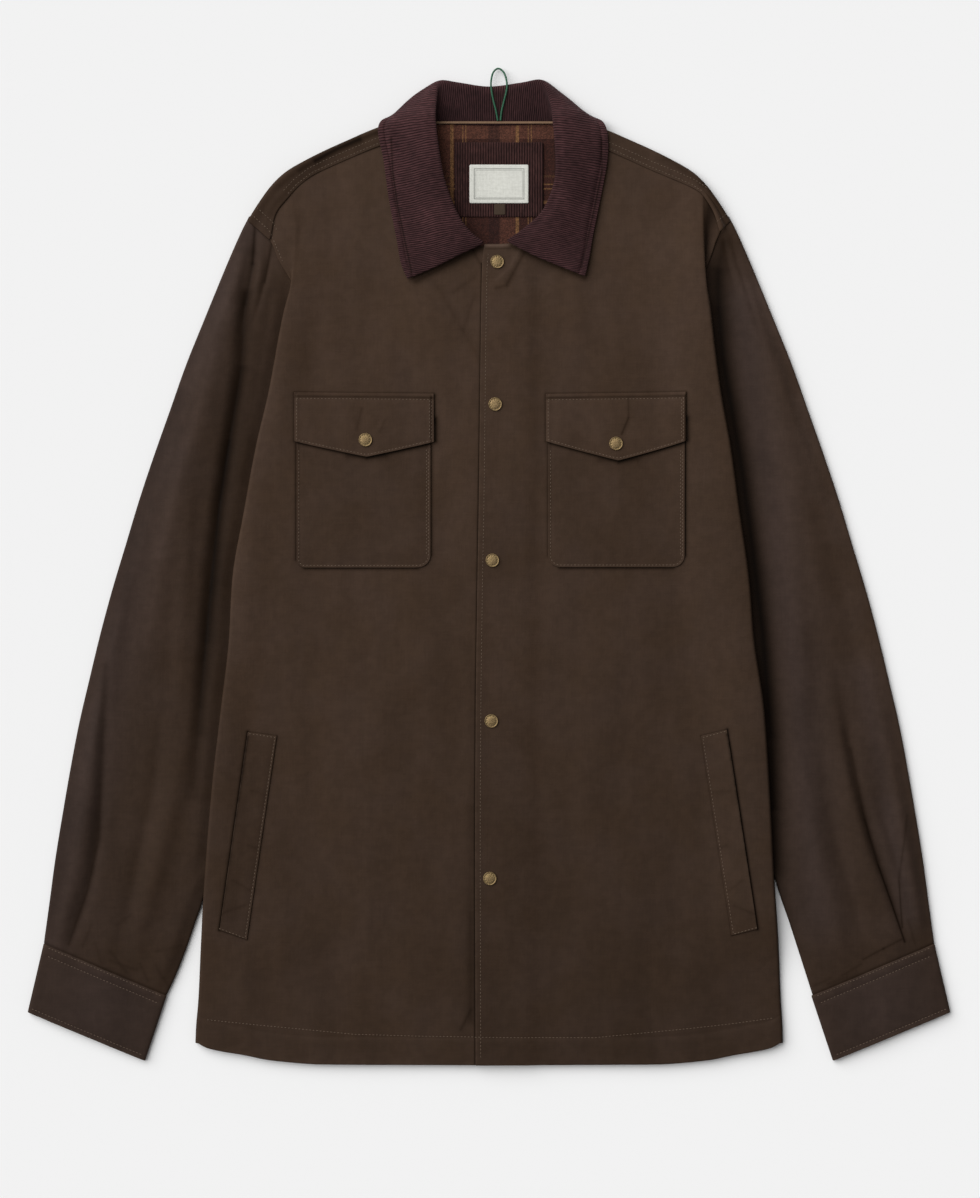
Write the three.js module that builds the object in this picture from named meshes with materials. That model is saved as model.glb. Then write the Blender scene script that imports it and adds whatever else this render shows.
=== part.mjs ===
// A waxed cotton overshirt jacket, fastened and laid flat on its back, front up.
// Millimetres. X runs to the right of the front as it is looked at, Y towards the collar, Z off the surface.
// Side -1 is the left of the picture (the wearer's right), side 1 the right of the picture.
// A cloth panel is a wall round its middle surface, and panels meet at a small gap where they are sewn.
import * as THREE from "three";

// Driving dimensions
const CLOTH = 1.5; // wall of the body and sleeves: waxed cotton with its lining
const COLLAR_WALL = 1.8; // corduroy on both faces
const CUFF_WALL = 2.2; // folded double
const PATCH_WALL = 1.2; // pockets, flaps and welts
const SEAM = 0.3; // gap between two pieces that are sewn or lie on each other
const BODY_PITCH = 4.8; // middle of the back to middle of the fronts
const SLEEVE_PITCH = 3.1; // middle of a sleeve's lower layer to middle of its upper one
const SLEEVE_LIFT = 5.3; // how far the body's edge is lifted by the sleeve tucked under it
const TUCK = 16; // how far a sleeve runs in under the body's edge
const SIDE_TURN = 14; // how far a front turns in under the body, to its side seam
const LAP = 22; // how far the under front runs past the middle
const LAP_STEP = 1.8; // how far the over front is lifted where it lies on the under one
const BACK_YOKE_Y = 236; // the yoke's lower seam on the back
const SNAP_D = 12.4;
const SNAP_H = 1.7;
const LOOP_D = 1.6;

const FLOOR = CLOTH / 2; // middle of a layer that lies on the surface
const FRONT_Z = FLOOR + BODY_PITCH; // middle of the fronts where they lie flat

// The edge of the body where the front rolls under, as a distance from the middle, on each side
const bodyEdge = [
  { y: -419, left: 249.5, right: 249.5 },
  { y: -389, left: 248.6, right: 249 },
  { y: -364, left: 246.5, right: 247.5 },
  { y: -321, left: 244.5, right: 245.7 },
  { y: -268, left: 241.4, right: 241.8 },
  { y: -183, left: 234.6, right: 237.4 },
  { y: -117, left: 227, right: 232.9 },
  { y: -58, left: 220.2, right: 224.4 },
  { y: -10, left: 217.6, right: 220 },
  { y: 50, left: 207.4, right: 211 },
  { y: 104, left: 197.4, right: 203.2 },
  { y: 152, left: 186.2, right: 194.5 },
  { y: 200, left: 177.5, right: 188.8 },
  { y: 248, left: 168.5, right: 185.3 },
  { y: 290, left: 166, right: 183.6 },
  { y: 321, left: 173.2, right: 183.7 },
];

// The hem, by distance from the middle
const hem = [
  { x: 0, y: -419.2 },
  { x: 140, y: -418.6 },
  { x: 186, y: -415 },
  { x: 207, y: -410.8 },
  { x: 232, y: -406.5 },
  { x: 241, y: -404 },
  { x: 247.5, y: -400 },
];

// The neckline of each front; its top edge runs on along the yoke's seam
const necklineLeft = [
  { x: -22, y: 276.4 },
  { x: 0, y: 276.6 },
  { x: 10, y: 277.8 },
  { x: 24, y: 284.5 },
  { x: 36, y: 302 },
  { x: 48, y: 330 },
  { x: 56, y: 353 },
];
const necklineRight = [
  { x: -4.2, y: 277.6 },
  { x: 6, y: 277.4 },
  { x: 17, y: 278.2 },
  { x: 26, y: 280.6 },
  { x: 37, y: 286.5 },
  { x: 51, y: 301 },
  { x: 60, y: 324 },
  { x: 65, y: 350 },
];

// The over front's free edge down the middle
const lapEdge = [
  { y: -419, x: -11.5 },
  { y: -228, x: -11.9 },
  { y: -109, x: -11.3 },
  { y: -24, x: -10.2 },
  { y: 78, x: -8.5 },
  { y: 193, x: -7.2 },
  { y: 262, x: -5.9 },
  { y: 278, x: -4.2 },
];

// The open flank of a front between its rolled edge and the armhole seam, by the height of the roll
const flankLeft = [
  { y: 200, x: 163.5, sy: 199, z: 6.15, open: 0 },
  { y: 225, x: 159, sy: 222, z: 6.15, open: 0 },
  { y: 240, x: 161, sy: 234, z: 6.4, open: 0.35 },
  { y: 255, x: 166, sy: 244, z: 6.35, open: 0.8 },
  { y: 275, x: 173.5, sy: 256, z: 6.25, open: 1 },
  { y: 293, x: 180.5, sy: 268, z: 6.15, open: 1 },
  { y: 318, x: 184, sy: 282.6, z: 6.05, open: 1 },
];
const flankRight = [
  { y: 200, x: 174.8, sy: 199, z: 6.15, open: 0 },
  { y: 225, x: 172.6, sy: 222, z: 6.15, open: 0 },
  { y: 240, x: 175, sy: 234, z: 6.4, open: 0.35 },
  { y: 255, x: 179.5, sy: 244, z: 6.35, open: 0.8 },
  { y: 275, x: 185.5, sy: 260, z: 6.25, open: 1 },
  { y: 300, x: 191, sy: 275, z: 6.15, open: 1 },
  { y: 321, x: 194.2, sy: 288.6, z: 6.05, open: 1 },
];

// The yoke, column by column from the middle: the shoulder line, the seam in front, and the way down the back
const yokeColumns = [
  { tx: 0, ty: 380.9, lx: 0, ly: 379, rx: 0, ry: 379, mx: 0, bx: 0 },
  { tx: 22, ty: 381.2, lx: 22, ly: 379, rx: 22, ry: 379, mx: 22, bx: 22 },
  { tx: 44, ty: 382, lx: 44, ly: 378.5, rx: 44, ry: 379, mx: 43, bx: 42 },
  { tx: 56, ty: 383.6, lx: 55, ly: 374.5, rx: 56, ry: 377, mx: 54, bx: 50 },
  { tx: 64, ty: 384.6, lx: 62, ly: 371.9, rx: 64, ry: 373, mx: 61, bx: 56 },
  { tx: 74, ty: 384.2, lx: 73, ly: 368.8, rx: 74, ry: 368.8, mx: 70, bx: 63 },
  { tx: 96, ty: 377.4, lx: 95.2, ly: 362.1, rx: 96, ry: 361.1, mx: 88, bx: 77 },
  { tx: 120, ty: 367.1, lx: 118, ly: 352.5, rx: 119, ry: 350.9, mx: 109, bx: 92 },
  { tx: 140, ty: 358.1, lx: 135, ly: 345.1, rx: 138, ry: 342.3, mx: 126, bx: 106 },
  { tx: 158, ty: 349, lx: 150, ly: 337.8, rx: 156, ry: 334.8, mx: 142, bx: 118 },
  { tx: 173, ty: 340, lx: 162, ly: 328.7, rx: 172, ry: 327.8, mx: 156, bx: 129 },
  { tx: 185, ty: 328.6, lx: 171, ly: 318.8, rx: 181.5, ry: 321.5, mx: 168, bx: 138 },
  { tx: 196, ty: 313.6, lx: 182, ly: 304.8, rx: 191, ry: 306.6, mx: 178, bx: 145 },
  { tx: 204.2, ty: 300.6, lx: 186, ly: 285, rx: 195.6, ry: 291, mx: 184.6, bx: 150 },
];
const yokeMidY = [
  { x: 0, y: 335 },
  { x: 60, y: 335 },
  { x: 140, y: 318 },
  { x: 180, y: 292 },
  { x: 186, y: 285 },
];

// The sleeve: its outer edge, and how far down its inner edge lies for each ring
const sleeveRings = [
  { ox: 204.6, oy: 299.4, iy: 281.6 },
  { ox: 209.4, oy: 290, iy: 268 },
  { ox: 217.5, oy: 272, iy: 248 },
  { ox: 228, oy: 247, iy: 222 },
  { ox: 241.4, oy: 214.2, iy: 187 },
  { ox: 256.8, oy: 176, iy: 145 },
  { ox: 270.3, oy: 137.7, iy: 104 },
  { ox: 284, oy: 99, iy: 64 },
  { ox: 296.6, oy: 61.2, iy: 25 },
  { ox: 308.4, oy: 22, iy: -17 },
  { ox: 319.6, oy: -15.3, iy: -56 },
  { ox: 330, oy: -54, iy: -97 },
  { ox: 339.1, oy: -91.8, iy: -136 },
  { ox: 348, oy: -130, iy: -173 },
  { ox: 355.3, oy: -168.3, iy: -211 },
  { ox: 361.8, oy: -206, iy: -249 },
  { ox: 368.1, oy: -244.8, iy: -288 },
  { ox: 373.2, oy: -283, iy: -324 },
  { ox: 377.8, oy: -315.75, iy: -359.5 },
];
// The sleeve's inner edge where it isn't tucked in, near the armhole and below the body's edge
const sleeveInner = [
  { y: -359.6, x: 275.2 },
  { y: -346.8, x: 268.6 },
  { y: -321.3, x: 258.4 },
  { y: -295.8, x: 249.6 },
  { y: -281, x: 244.2 },
];
const CUFF = { ox: 377.9, oy: -316.2, ix: 275, iy: -360, bottomOx: 391.5, bottomOy: -374.6, bottomIx: 293.4, bottomIy: -415.4 };

// The large folds of the sleeves: a line on the cloth, how high it stands over the cloth beside it, its half width
const foldsLeft = [
  { h: -0.9, w: 9, line: [[205, 262], [208, 237], [211, 174], [221, 112], [229, 61], [236, 4], [241, -58], [248, -137], [251, -190]] },
  { h: 1.9, w: 13, line: [[222, 238], [232, 197], [245.7, 161], [256, 118], [266, 78], [277, 30], [286, -20]] },
  { h: -0.7, w: 8, line: [[206, 286], [214, 262], [228, 215], [243, 165]] },
  { h: 1.7, w: 11, line: [[300, -20], [311, -70], [322, -130], [328, -190], [333, -247], [346, -288], [354, -318]] },
  { h: -0.8, w: 9, line: [[296, -60], [306, -120], [314, -180], [318, -240], [328, -290]] },
  { h: 1.4, w: 10, line: [[262, -150], [272, -210], [287, -270], [303, -330]] },
];
const foldsRight = [
  { h: -0.9, w: 10, line: [[203, 250], [206, 200], [216, 120], [227, 40], [237, -40], [246, -130], [252, -220]] },
  { h: 1.6, w: 13, line: [[222, 240], [238, 190], [254, 120], [268, 50], [282, -20]] },
  { h: -0.6, w: 8, line: [[212, 280], [226, 230], [240, 180]] },
  { h: 1.8, w: 11, line: [[296, -80], [301, -117], [309, -177], [318, -217], [343, -285], [353, -316]] },
  { h: -0.8, w: 8, line: [[312, -120], [320, -170], [332, -222], [347, -262], [357, -300]] },
  { h: 1.2, w: 9, line: [[268, -160], [276, -220], [290, -280], [305, -336]] },
];
// Shallow drape lines of the fronts, in the same columns
const drapesLeft = [
  { h: 0.45, w: 26, line: [[96, 60], [88, -60], [92, -190], [104, -330]] },
  { h: -0.5, w: 16, line: [[34, 120], [30, 0], [26, -130], [20, -250], [18, -400]] },
  { h: 0.4, w: 22, line: [[150, 250], [172, 120], [188, 0], [196, -90]] },
  { h: -0.4, w: 20, line: [[160, -160], [150, -260], [156, -380]] },
];
const drapesRight = [
  { h: 0.45, w: 26, line: [[88, 50], [96, -80], [90, -210], [98, -340]] },
  { h: -0.45, w: 18, line: [[44, 80], [50, -60], [46, -200], [52, -380]] },
  { h: 0.4, w: 22, line: [[158, 250], [176, 120], [190, 0], [200, -100]] },
  { h: -0.4, w: 20, line: [[150, -150], [162, -260], [150, -390]] },
];

// The collar, station by station from the left end round the neck to the right end.
// n is on the neck seam, s half way up the stand, r on the roll line, a and b on the leaf, e on its outer edge.
const collarStations = [
  { n: [-9.6, 279.4, 7.7], s: [-6.6, 280.2, 8.7], r: [-4.6, 279.2, 9.9], a: [-24, 269.6, 10.2], b: [-44, 259.7, 8.8], e: [-64.6, 249.9, 7.8] },
  { n: [-21.5, 285.5, 7.7], s: [-17, 288, 9.4], r: [-12.6, 289.5, 11.8], a: [-31.5, 281, 11.8], b: [-49.5, 271.5, 9.2], e: [-68.2, 262, 7.7] },
  { n: [-34.5, 300.5, 7.7], s: [-28.4, 303, 10], r: [-23, 303.8, 13.2], a: [-41.5, 297.5, 13], b: [-57, 290.5, 9.6], e: [-73.6, 284, 7.7] },
  { n: [-47.5, 327, 7.7], s: [-41, 329.5, 10.6], r: [-35.8, 330.4, 14.3], a: [-52, 326, 13.4], b: [-66, 321, 9.8], e: [-81.2, 316.4, 7.7] },
  { n: [-57, 353.5, 7.8], s: [-49.5, 356, 11], r: [-43, 357.5, 15], a: [-58.5, 354.5, 13.8], b: [-72.5, 351.5, 10], e: [-88, 348.5, 7.7] },
  { n: [-59.5, 374, 8.6], s: [-52.5, 379, 11.4], r: [-45.8, 382, 14.9], a: [-62, 380.6, 13.4], b: [-78, 378.6, 10.2], e: [-94.2, 376.9, 8.4] },
  { n: [-55.5, 382.6, 7.6], s: [-51, 388, 10], r: [-45.9, 392, 13], a: [-65, 390.4, 11.4], b: [-80.5, 387.2, 7.8], e: [-87.4, 386, 3.2] },
  { n: [-48.5, 384.8, 4.6], s: [-47.6, 393, 8.2], r: [-45.4, 401.5, 10.8], a: [-61, 399, 9], b: [-74.5, 392.6, 4.2], e: [-61, 391.5, 0.9] },
  { n: [-42, 384.2, 3.1], s: [-43.8, 399, 6.6], r: [-43.9, 411.5, 8.3], a: [-52, 409, 6.6], b: [-57.6, 405.4, 3.2], e: [-45, 397, 0.9] },
  { n: [-34, 383.2, 2.9], s: [-36.5, 401, 5.6], r: [-38.4, 415.2, 6.6], a: [-42.4, 416.9, 3.9], b: [-40.8, 414.6, 1], e: [-35, 393, 0.9] },
  { n: [-22, 382.3, 2.9], s: [-23, 399, 5.2], r: [-24.2, 412.8, 5.9], a: [-25, 415, 3.4], b: [-24.4, 412.8, 0.9], e: [-22, 390, 0.9] },
  { n: [0, 382, 2.9], s: [0, 397, 5], r: [0, 409.6, 5.7], a: [0, 411.8, 3.3], b: [0, 409.4, 0.9], e: [0, 387.6, 0.9] },
  { n: [24, 382.3, 2.9], s: [25, 399, 5.2], r: [26.2, 412.8, 5.9], a: [27, 415, 3.4], b: [26.4, 412.8, 0.9], e: [24, 390, 0.9] },
  { n: [38, 383.2, 2.9], s: [40, 401, 5.6], r: [41, 415.6, 6.6], a: [45, 417.5, 3.9], b: [43.4, 415.2, 1], e: [38, 393.6, 0.9] },
  { n: [48, 384.4, 3.2], s: [49, 399, 6.8], r: [48.8, 411.4, 8.5], a: [56, 408.8, 6.8], b: [60.8, 405.6, 3.2], e: [49, 397, 0.9] },
  { n: [56, 385.4, 4.8], s: [54.2, 393, 8.4], r: [52.4, 401, 11], a: [66, 398.6, 9.2], b: [77.6, 393, 4.2], e: [64.5, 392, 0.9] },
  { n: [62.5, 383, 7.7], s: [58.5, 387.6, 10.2], r: [54, 391.4, 13.2], a: [71, 390.4, 11.6], b: [85.4, 387.8, 7.9], e: [92.4, 386, 3.2] },
  { n: [66.5, 374, 8.6], s: [60.5, 378.6, 11.6], r: [54.8, 381.6, 15.1], a: [71, 380.4, 13.6], b: [85, 378.8, 10.2], e: [99.2, 377.6, 8.4] },
  { n: [67.5, 352.5, 7.8], s: [62, 355.4, 11.2], r: [57, 357, 15.2], a: [72, 356, 13.8], b: [86.5, 354.6, 10], e: [101, 353.4, 7.7] },
  { n: [62.8, 325, 7.8], s: [60, 329.5, 11], r: [56.6, 331.6, 14.6], a: [71, 329, 13.2], b: [83.5, 325.6, 9.8], e: [95.8, 322.6, 7.7] },
  { n: [53.4, 301, 8], s: [50.6, 304.6, 10.8], r: [46.4, 305.6, 13.8], a: [62, 301.4, 12.8], b: [75.5, 295.6, 9.6], e: [89.2, 289.8, 7.7] },
  { n: [38.5, 285.5, 8.8], s: [35, 288.6, 10.6], r: [30.6, 290.6, 12.9], a: [48, 283.6, 12.4], b: [66.5, 275.4, 9.4], e: [85.4, 267.2, 7.7] },
  { n: [22, 279.4, 9.5], s: [18.8, 280.6, 10.5], r: [16.4, 279.4, 11.7], a: [36.8, 268.6, 11.6], b: [59, 259.4, 9.2], e: [81.6, 250.6, 7.8] },
];

// Pockets: columns across, with the top and the bottom of each column
const pocketLeft = { x0: -163.4, x1: -49.5, top: 150.5, bottom: 3.6, r0: 7, r1: 11 };
const pocketRight = { x0: 50.4, x1: 166.2, top: 150.5, bottom: 4, r0: 10, r1: 10 };
const flapLeft = { x0: -165.2, x1: -46.8, top0: 152.7, top1: 151.6, side0: 111, side1: 110.4, point: -103.8, tip: 97.6 };
const flapRight = { x0: 48.4, x1: 166.8, top0: 151.4, top1: 152.8, side0: 111, side1: 111, point: 110, tip: 94.4 };
// Welt pockets, by their four corners: the opening is on the outer edge
const weltLeft = { outTop: [-204.8, -135.8], inTop: [-180.2, -139.2], inBottom: [-205.6, -312.4], outBottom: [-228.8, -304] };
const weltRight = { outTop: [201.8, -133.6], inTop: [180, -139.2], inBottom: [205.8, -308.6], outBottom: [227.4, -302.6] };

const frontSnaps = [
  { x: 7.2, y: 264.3 },
  { x: 5.3, y: 142.5 },
  { x: 2.9, y: 9.9 },
  { x: 2, y: -126.5 },
  { x: 0.7, y: -260.2 },
];

// Inside the neck
const LINING = { x0: -57, x1: 62, y0: 246, y1: 380.4, topX0: -46, topX1: 54, wall: 0.9 };
const PATCH = { x0: -29.1, x1: 46.5, y0: 301.8, y1: 365.5, wall: 0.9 };
const LABEL = { x0: -16.7, x1: 33.7, y0: 313.4, y1: 346.4, wall: 0.7 };
const TAB = { x0: 4.3, x1: 14, y0: 303.6, y1: 312.9, wall: 0.6 };
const TAPE = { x0: -44.5, x1: 53, y: 381.6, width: 3, wall: 0.8 };

// The hanging loop: a cord sewn in at the neck, up over the stand and down behind it
const loopPath = [
  [7.4, 383.7, 5.2],
  [5.9, 392, 6.35],
  [3.6, 401, 7.15],
  [2.1, 409, 7.6],
  [1.7, 416, 6.9],
  [3.6, 423.4, 5],
  [6.2, 427.2, 3.6],
  [8, 428.2, 3],
  [9.8, 427, 3.6],
  [13, 422.6, 5.2],
  [15.2, 415.6, 7],
  [14.8, 408.6, 7.7],
  [12.9, 400.6, 7.15],
  [10.8, 392, 6.35],
  [9.8, 383.9, 5.2],
];

// Helpers
const lerp = (a, b, t) => a + (b - a) * t;
const clamp01 = (t) => Math.min(1, Math.max(0, t));
const smooth = (t) => clamp01(t) ** 2 * (3 - 2 * clamp01(t));
const V = (x, y, z) => new THREE.Vector3(x, y, z);

// A smooth curve through one column of a table, as a function of another column
function curve(rows, from, to) {
  const sorted = [...rows].sort((p, q) => p[from] - q[from]);
  const xs = sorted.map((r) => r[from]);
  const ys = sorted.map((r) => r[to]);
  const d = xs.slice(1).map((x, i) => (ys[i + 1] - ys[i]) / (x - xs[i]));
  const m = xs.map((_, i) => {
    if (i === 0) return d[0];
    if (i === xs.length - 1) return d[i - 1];
    if (d[i - 1] * d[i] <= 0) return 0;
    return (2 * d[i - 1] * d[i]) / (d[i - 1] + d[i]);
  });
  return (x) => {
    if (x <= xs[0]) return ys[0];
    if (x >= xs[xs.length - 1]) return ys[ys.length - 1];
    let i = 0;
    while (x > xs[i + 1]) i += 1;
    const h = xs[i + 1] - xs[i];
    const t = (x - xs[i]) / h;
    const a = (1 + 2 * t) * (1 - t) ** 2;
    const b = t * (1 - t) ** 2;
    const c = t * t * (3 - 2 * t);
    const e = t * t * (t - 1);
    return a * ys[i] + b * h * m[i] + c * ys[i + 1] + e * h * m[i + 1];
  };
}

// A point on a Catmull-Rom curve through a list of numbers
function through(list, t) {
  const i = Math.min(list.length - 2, Math.max(0, Math.floor(t)));
  const f = t - i;
  const p1 = list[i];
  const p2 = list[i + 1];
  const p0 = i > 0 ? list[i - 1] : 2 * p1 - p2;
  const p3 = i + 2 < list.length ? list[i + 2] : 2 * p2 - p1;
  return p1 + 0.5 * f * (p2 - p0 + f * (2 * p0 - 5 * p1 + 4 * p2 - p3 + f * (3 * (p1 - p2) + p3 - p0)));
}

// How far a set of fold lines raises the cloth at a point
function foldsAt(folds, x, y) {
  let sum = 0;
  for (const { h, w, line } of folds) {
    let best = 1e9;
    let place = 0;
    for (let i = 0; i + 1 < line.length; i += 1) {
      const [ax, ay] = line[i];
      const [bx, by] = line[i + 1];
      const dx = bx - ax;
      const dy = by - ay;
      const t = clamp01(((x - ax) * dx + (y - ay) * dy) / (dx * dx + dy * dy));
      const d = Math.hypot(x - ax - t * dx, y - ay - t * dy);
      if (d < best) {
        best = d;
        place = (i + t) / (line.length - 1);
      }
    }
    sum += h * Math.exp(-((best / w) ** 2)) * (0.35 + 0.65 * Math.sin(Math.PI * clamp01(0.08 + 0.84 * place)));
  }
  return sum;
}

const root = new THREE.Group();

function add(name, color, triangles) {
  const geometry = new THREE.BufferGeometry();
  let volume = 0;
  for (const [a, b, c] of triangles) volume += a.dot(b.clone().cross(c));
  const data = [];
  for (const [a, b, c] of triangles) {
    const order = volume > 0 ? [a, b, c] : [a, c, b];
    for (const p of order) data.push(p.x, p.y, p.z);
  }
  geometry.setAttribute("position", new THREE.Float32BufferAttribute(data, 3));
  geometry.computeVertexNormals();
  const mesh = new THREE.Mesh(geometry, new THREE.MeshStandardMaterial({ color }));
  mesh.name = name;
  root.add(mesh);
  return mesh;
}

// A wall round a grid of middle points. With ring the last column joins the first one.
function wall(grid, thickness, ring = false) {
  const rows = grid.length;
  const cols = grid[0].length;
  const at = (i, j) => {
    const k = ring ? (j + cols) % cols : Math.min(cols - 1, Math.max(0, j));
    return grid[Math.min(rows - 1, Math.max(0, i))][k];
  };
  const moved = (sign) =>
    grid.map((row, i) =>
      row.map((p, j) => {
        const du = at(i + 1, j).clone().sub(at(i - 1, j));
        const dv = at(i, j + 1).clone().sub(at(i, j - 1));
        const n = du.cross(dv).normalize();
        const q = p.clone().addScaledVector(n, (sign * thickness) / 2);
        q.z = Math.max(0, q.z);
        return q;
      }),
    );
  const up = moved(1);
  const down = moved(-1);
  const out = [];
  const quad = (a, b, c, d) => out.push([a, b, c], [a, c, d]);
  const last = ring ? cols : cols - 1;
  for (let i = 0; i + 1 < rows; i += 1) {
    for (let j = 0; j < last; j += 1) {
      const k = (j + 1) % cols;
      quad(up[i][j], up[i + 1][j], up[i + 1][k], up[i][k]);
      quad(down[i][j], down[i][k], down[i + 1][k], down[i + 1][j]);
    }
  }
  for (let j = 0; j < last; j += 1) {
    const k = (j + 1) % cols;
    quad(down[0][j], up[0][j], up[0][k], down[0][k]);
    quad(up[rows - 1][j], down[rows - 1][j], down[rows - 1][k], up[rows - 1][k]);
  }
  if (!ring) {
    for (let i = 0; i + 1 < rows; i += 1) {
      quad(up[i][0], down[i][0], down[i + 1][0], up[i + 1][0]);
      quad(down[i][cols - 1], up[i][cols - 1], up[i + 1][cols - 1], down[i + 1][cols - 1]);
    }
  }
  return out;
}

const spread = (count, fn) => Array.from({ length: count + 1 }, (_, i) => fn(i / count));

// The body's shape
const edgeOf = { "-1": curve(bodyEdge, "y", "left"), 1: curve(bodyEdge, "y", "right") };
const edgeX = (side, y) => edgeOf[side](y);
const hemY = curve(hem, "x", "y");
const lastColumn = 11;
function frontTopRow(side) {
  const neck = side < 0 ? necklineLeft : necklineRight;
  const seam = yokeColumns.slice(side < 0 ? 4 : 5, lastColumn + 1).map((c) => ({
    x: side < 0 ? c.lx : c.rx,
    y: (side < 0 ? c.ly : c.ry) - SEAM - 0.15,
  }));
  return [...neck, ...seam];
}
const tops = { "-1": frontTopRow(-1), 1: frontTopRow(1) };
const lapX = curve(lapEdge, "y", "x");
const flankRows = { "-1": flankLeft, 1: flankRight };
const drapes = { "-1": drapesLeft, 1: drapesRight };

// How far the body's edge is lifted by the sleeve below it
const crotchLift = (y) => SLEEVE_LIFT * smooth((y + 308) / 22);
const backLift = (y) => Math.min(crotchLift(y), SLEEVE_LIFT * smooth((242 - y) / 20));
const frontLift = (y) => Math.min(crotchLift(y), SLEEVE_LIFT * smooth((318 - y) / 95));

// The middle of a front's wall over a point, side being the front's own side
function frontZ(side, x, y) {
  const out = side * x;
  const raised = frontLift(y) * smooth((out - edgeX(side, y) + 44) / 32);
  const lap = side > 0 ? LAP_STEP * (1 - smooth((x - 30) / 14)) : 0;
  return FRONT_Z + raised + lap + foldsAt(drapes[side], out, y) * smooth((out - 12) / 10);
}

// A front: from its edge down the middle, out to the roll, and round to the side seam
function frontGrid(side, rows, round) {
  const top = tops[side];
  const first = top[0].x;
  const last = top[top.length - 1];
  const hemFirst = side < 0 ? first : lapX(-419);
  const hemLast = edgeX(side, -400) - BODY_PITCH / 2;
  const flank = flankRows[side];
  const flankX = curve(flank, "y", "x");
  const flankY = curve(flank, "y", "sy");
  const flankZ = curve(flank, "y", "z");
  const flankOpen = curve(flank, "y", "open");
  return spread(rows, (b) => {
    const row = top.map(({ x: topX, y: topY }) => {
      const f = (topX - first) / (last.x - first);
      const hemX = lerp(hemFirst, hemLast, f);
      const y = lerp(hemY(Math.abs(hemX)), topY, b);
      const rollX = edgeX(side, lerp(hemY(hemLast), last.y, b)) - BODY_PITCH / 2;
      const edgeShift = (rollX - lerp(hemLast, last.x, b)) * f * f;
      const lapShift = side > 0 ? (lapX(y) - lerp(hemFirst, first, b)) * (1 - f) ** 2 : 0;
      const x = side * (lerp(hemX, topX, b) + edgeShift + lapShift);
      return V(x, y, frontZ(side, x, y));
    });
    const roll = row[row.length - 1];
    const y = roll.y;
    const out = side * roll.x;
    const low = FLOOR + crotchLift(y);
    const seam = y < 200 ? V(edgeX(side, y) - SIDE_TURN, y, low) : V(flankX(y), flankY(y), flankZ(y));
    const radius = (roll.z - low) / 2;
    for (let c = 1; c <= round; c += 1) {
      const t = c / round;
      const turn = Math.min(1, t * 1.45) * Math.PI;
      const closed = V(out + radius * Math.sin(turn), y, low + radius * (1 + Math.cos(turn)));
      if (t > 0.69) closed.lerp(seam, smooth((t - 0.69) / 0.31));
      const bulge = V(out + (seam.x - out) * 0.75 + (side < 0 ? 3 : 0), lerp(y, seam.y, 0.42), lerp(roll.z, seam.z, 0.25));
      const wide = V(out, y, roll.z)
        .multiplyScalar((1 - t) ** 2)
        .addScaledVector(bulge, 2 * t * (1 - t))
        .addScaledVector(seam, t * t);
      const p = closed.lerp(wide, flankOpen(y));
      row.push(V(side * p.x, p.y, p.z));
    }
    return row;
  });
}

const BROWN = 0x3b2e26;
const SLEEVE_BROWN = 0x392e29;

const frontGrids = { "-1": frontGrid(-1, 20, 6), 1: frontGrid(1, 20, 6) };
add("front_right", BROWN, wall(frontGrids[-1], CLOTH));
add("front_left", BROWN, wall(frontGrids[1], CLOTH));

// The back, from the hem to the yoke's seam and from side seam to side seam
function backEdge(side, y) {
  const plain = edgeX(side, y) - SIDE_TURN - SEAM - 0.3;
  return y < 185 ? plain : lerp(edgeX(side, 185) - SIDE_TURN - SEAM - 0.3, 150, smooth((y - 185) / 51) ** 0.8);
}
const backZ = (side, x, y) => FLOOR + backLift(y) * smooth((side * x - backEdge(side, y) + 16) / 13);
const backGrid = spread(18, (b) =>
  spread(16, (a) => {
    const f = 2 * a - 1;
    const side = f < 0 ? -1 : 1;
    const spaced = Math.abs(f) ** 0.72;
    const hemX = spaced * (edgeX(side, -400) - SIDE_TURN - SEAM - 0.3);
    const y = lerp(hemY(hemX), BACK_YOKE_Y - SEAM - 0.1, b);
    const x = side * spaced * backEdge(side, y);
    return V(x, y, backZ(side, x, y));
  }),
);
add("back", BROWN, wall(backGrid, CLOTH));

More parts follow.
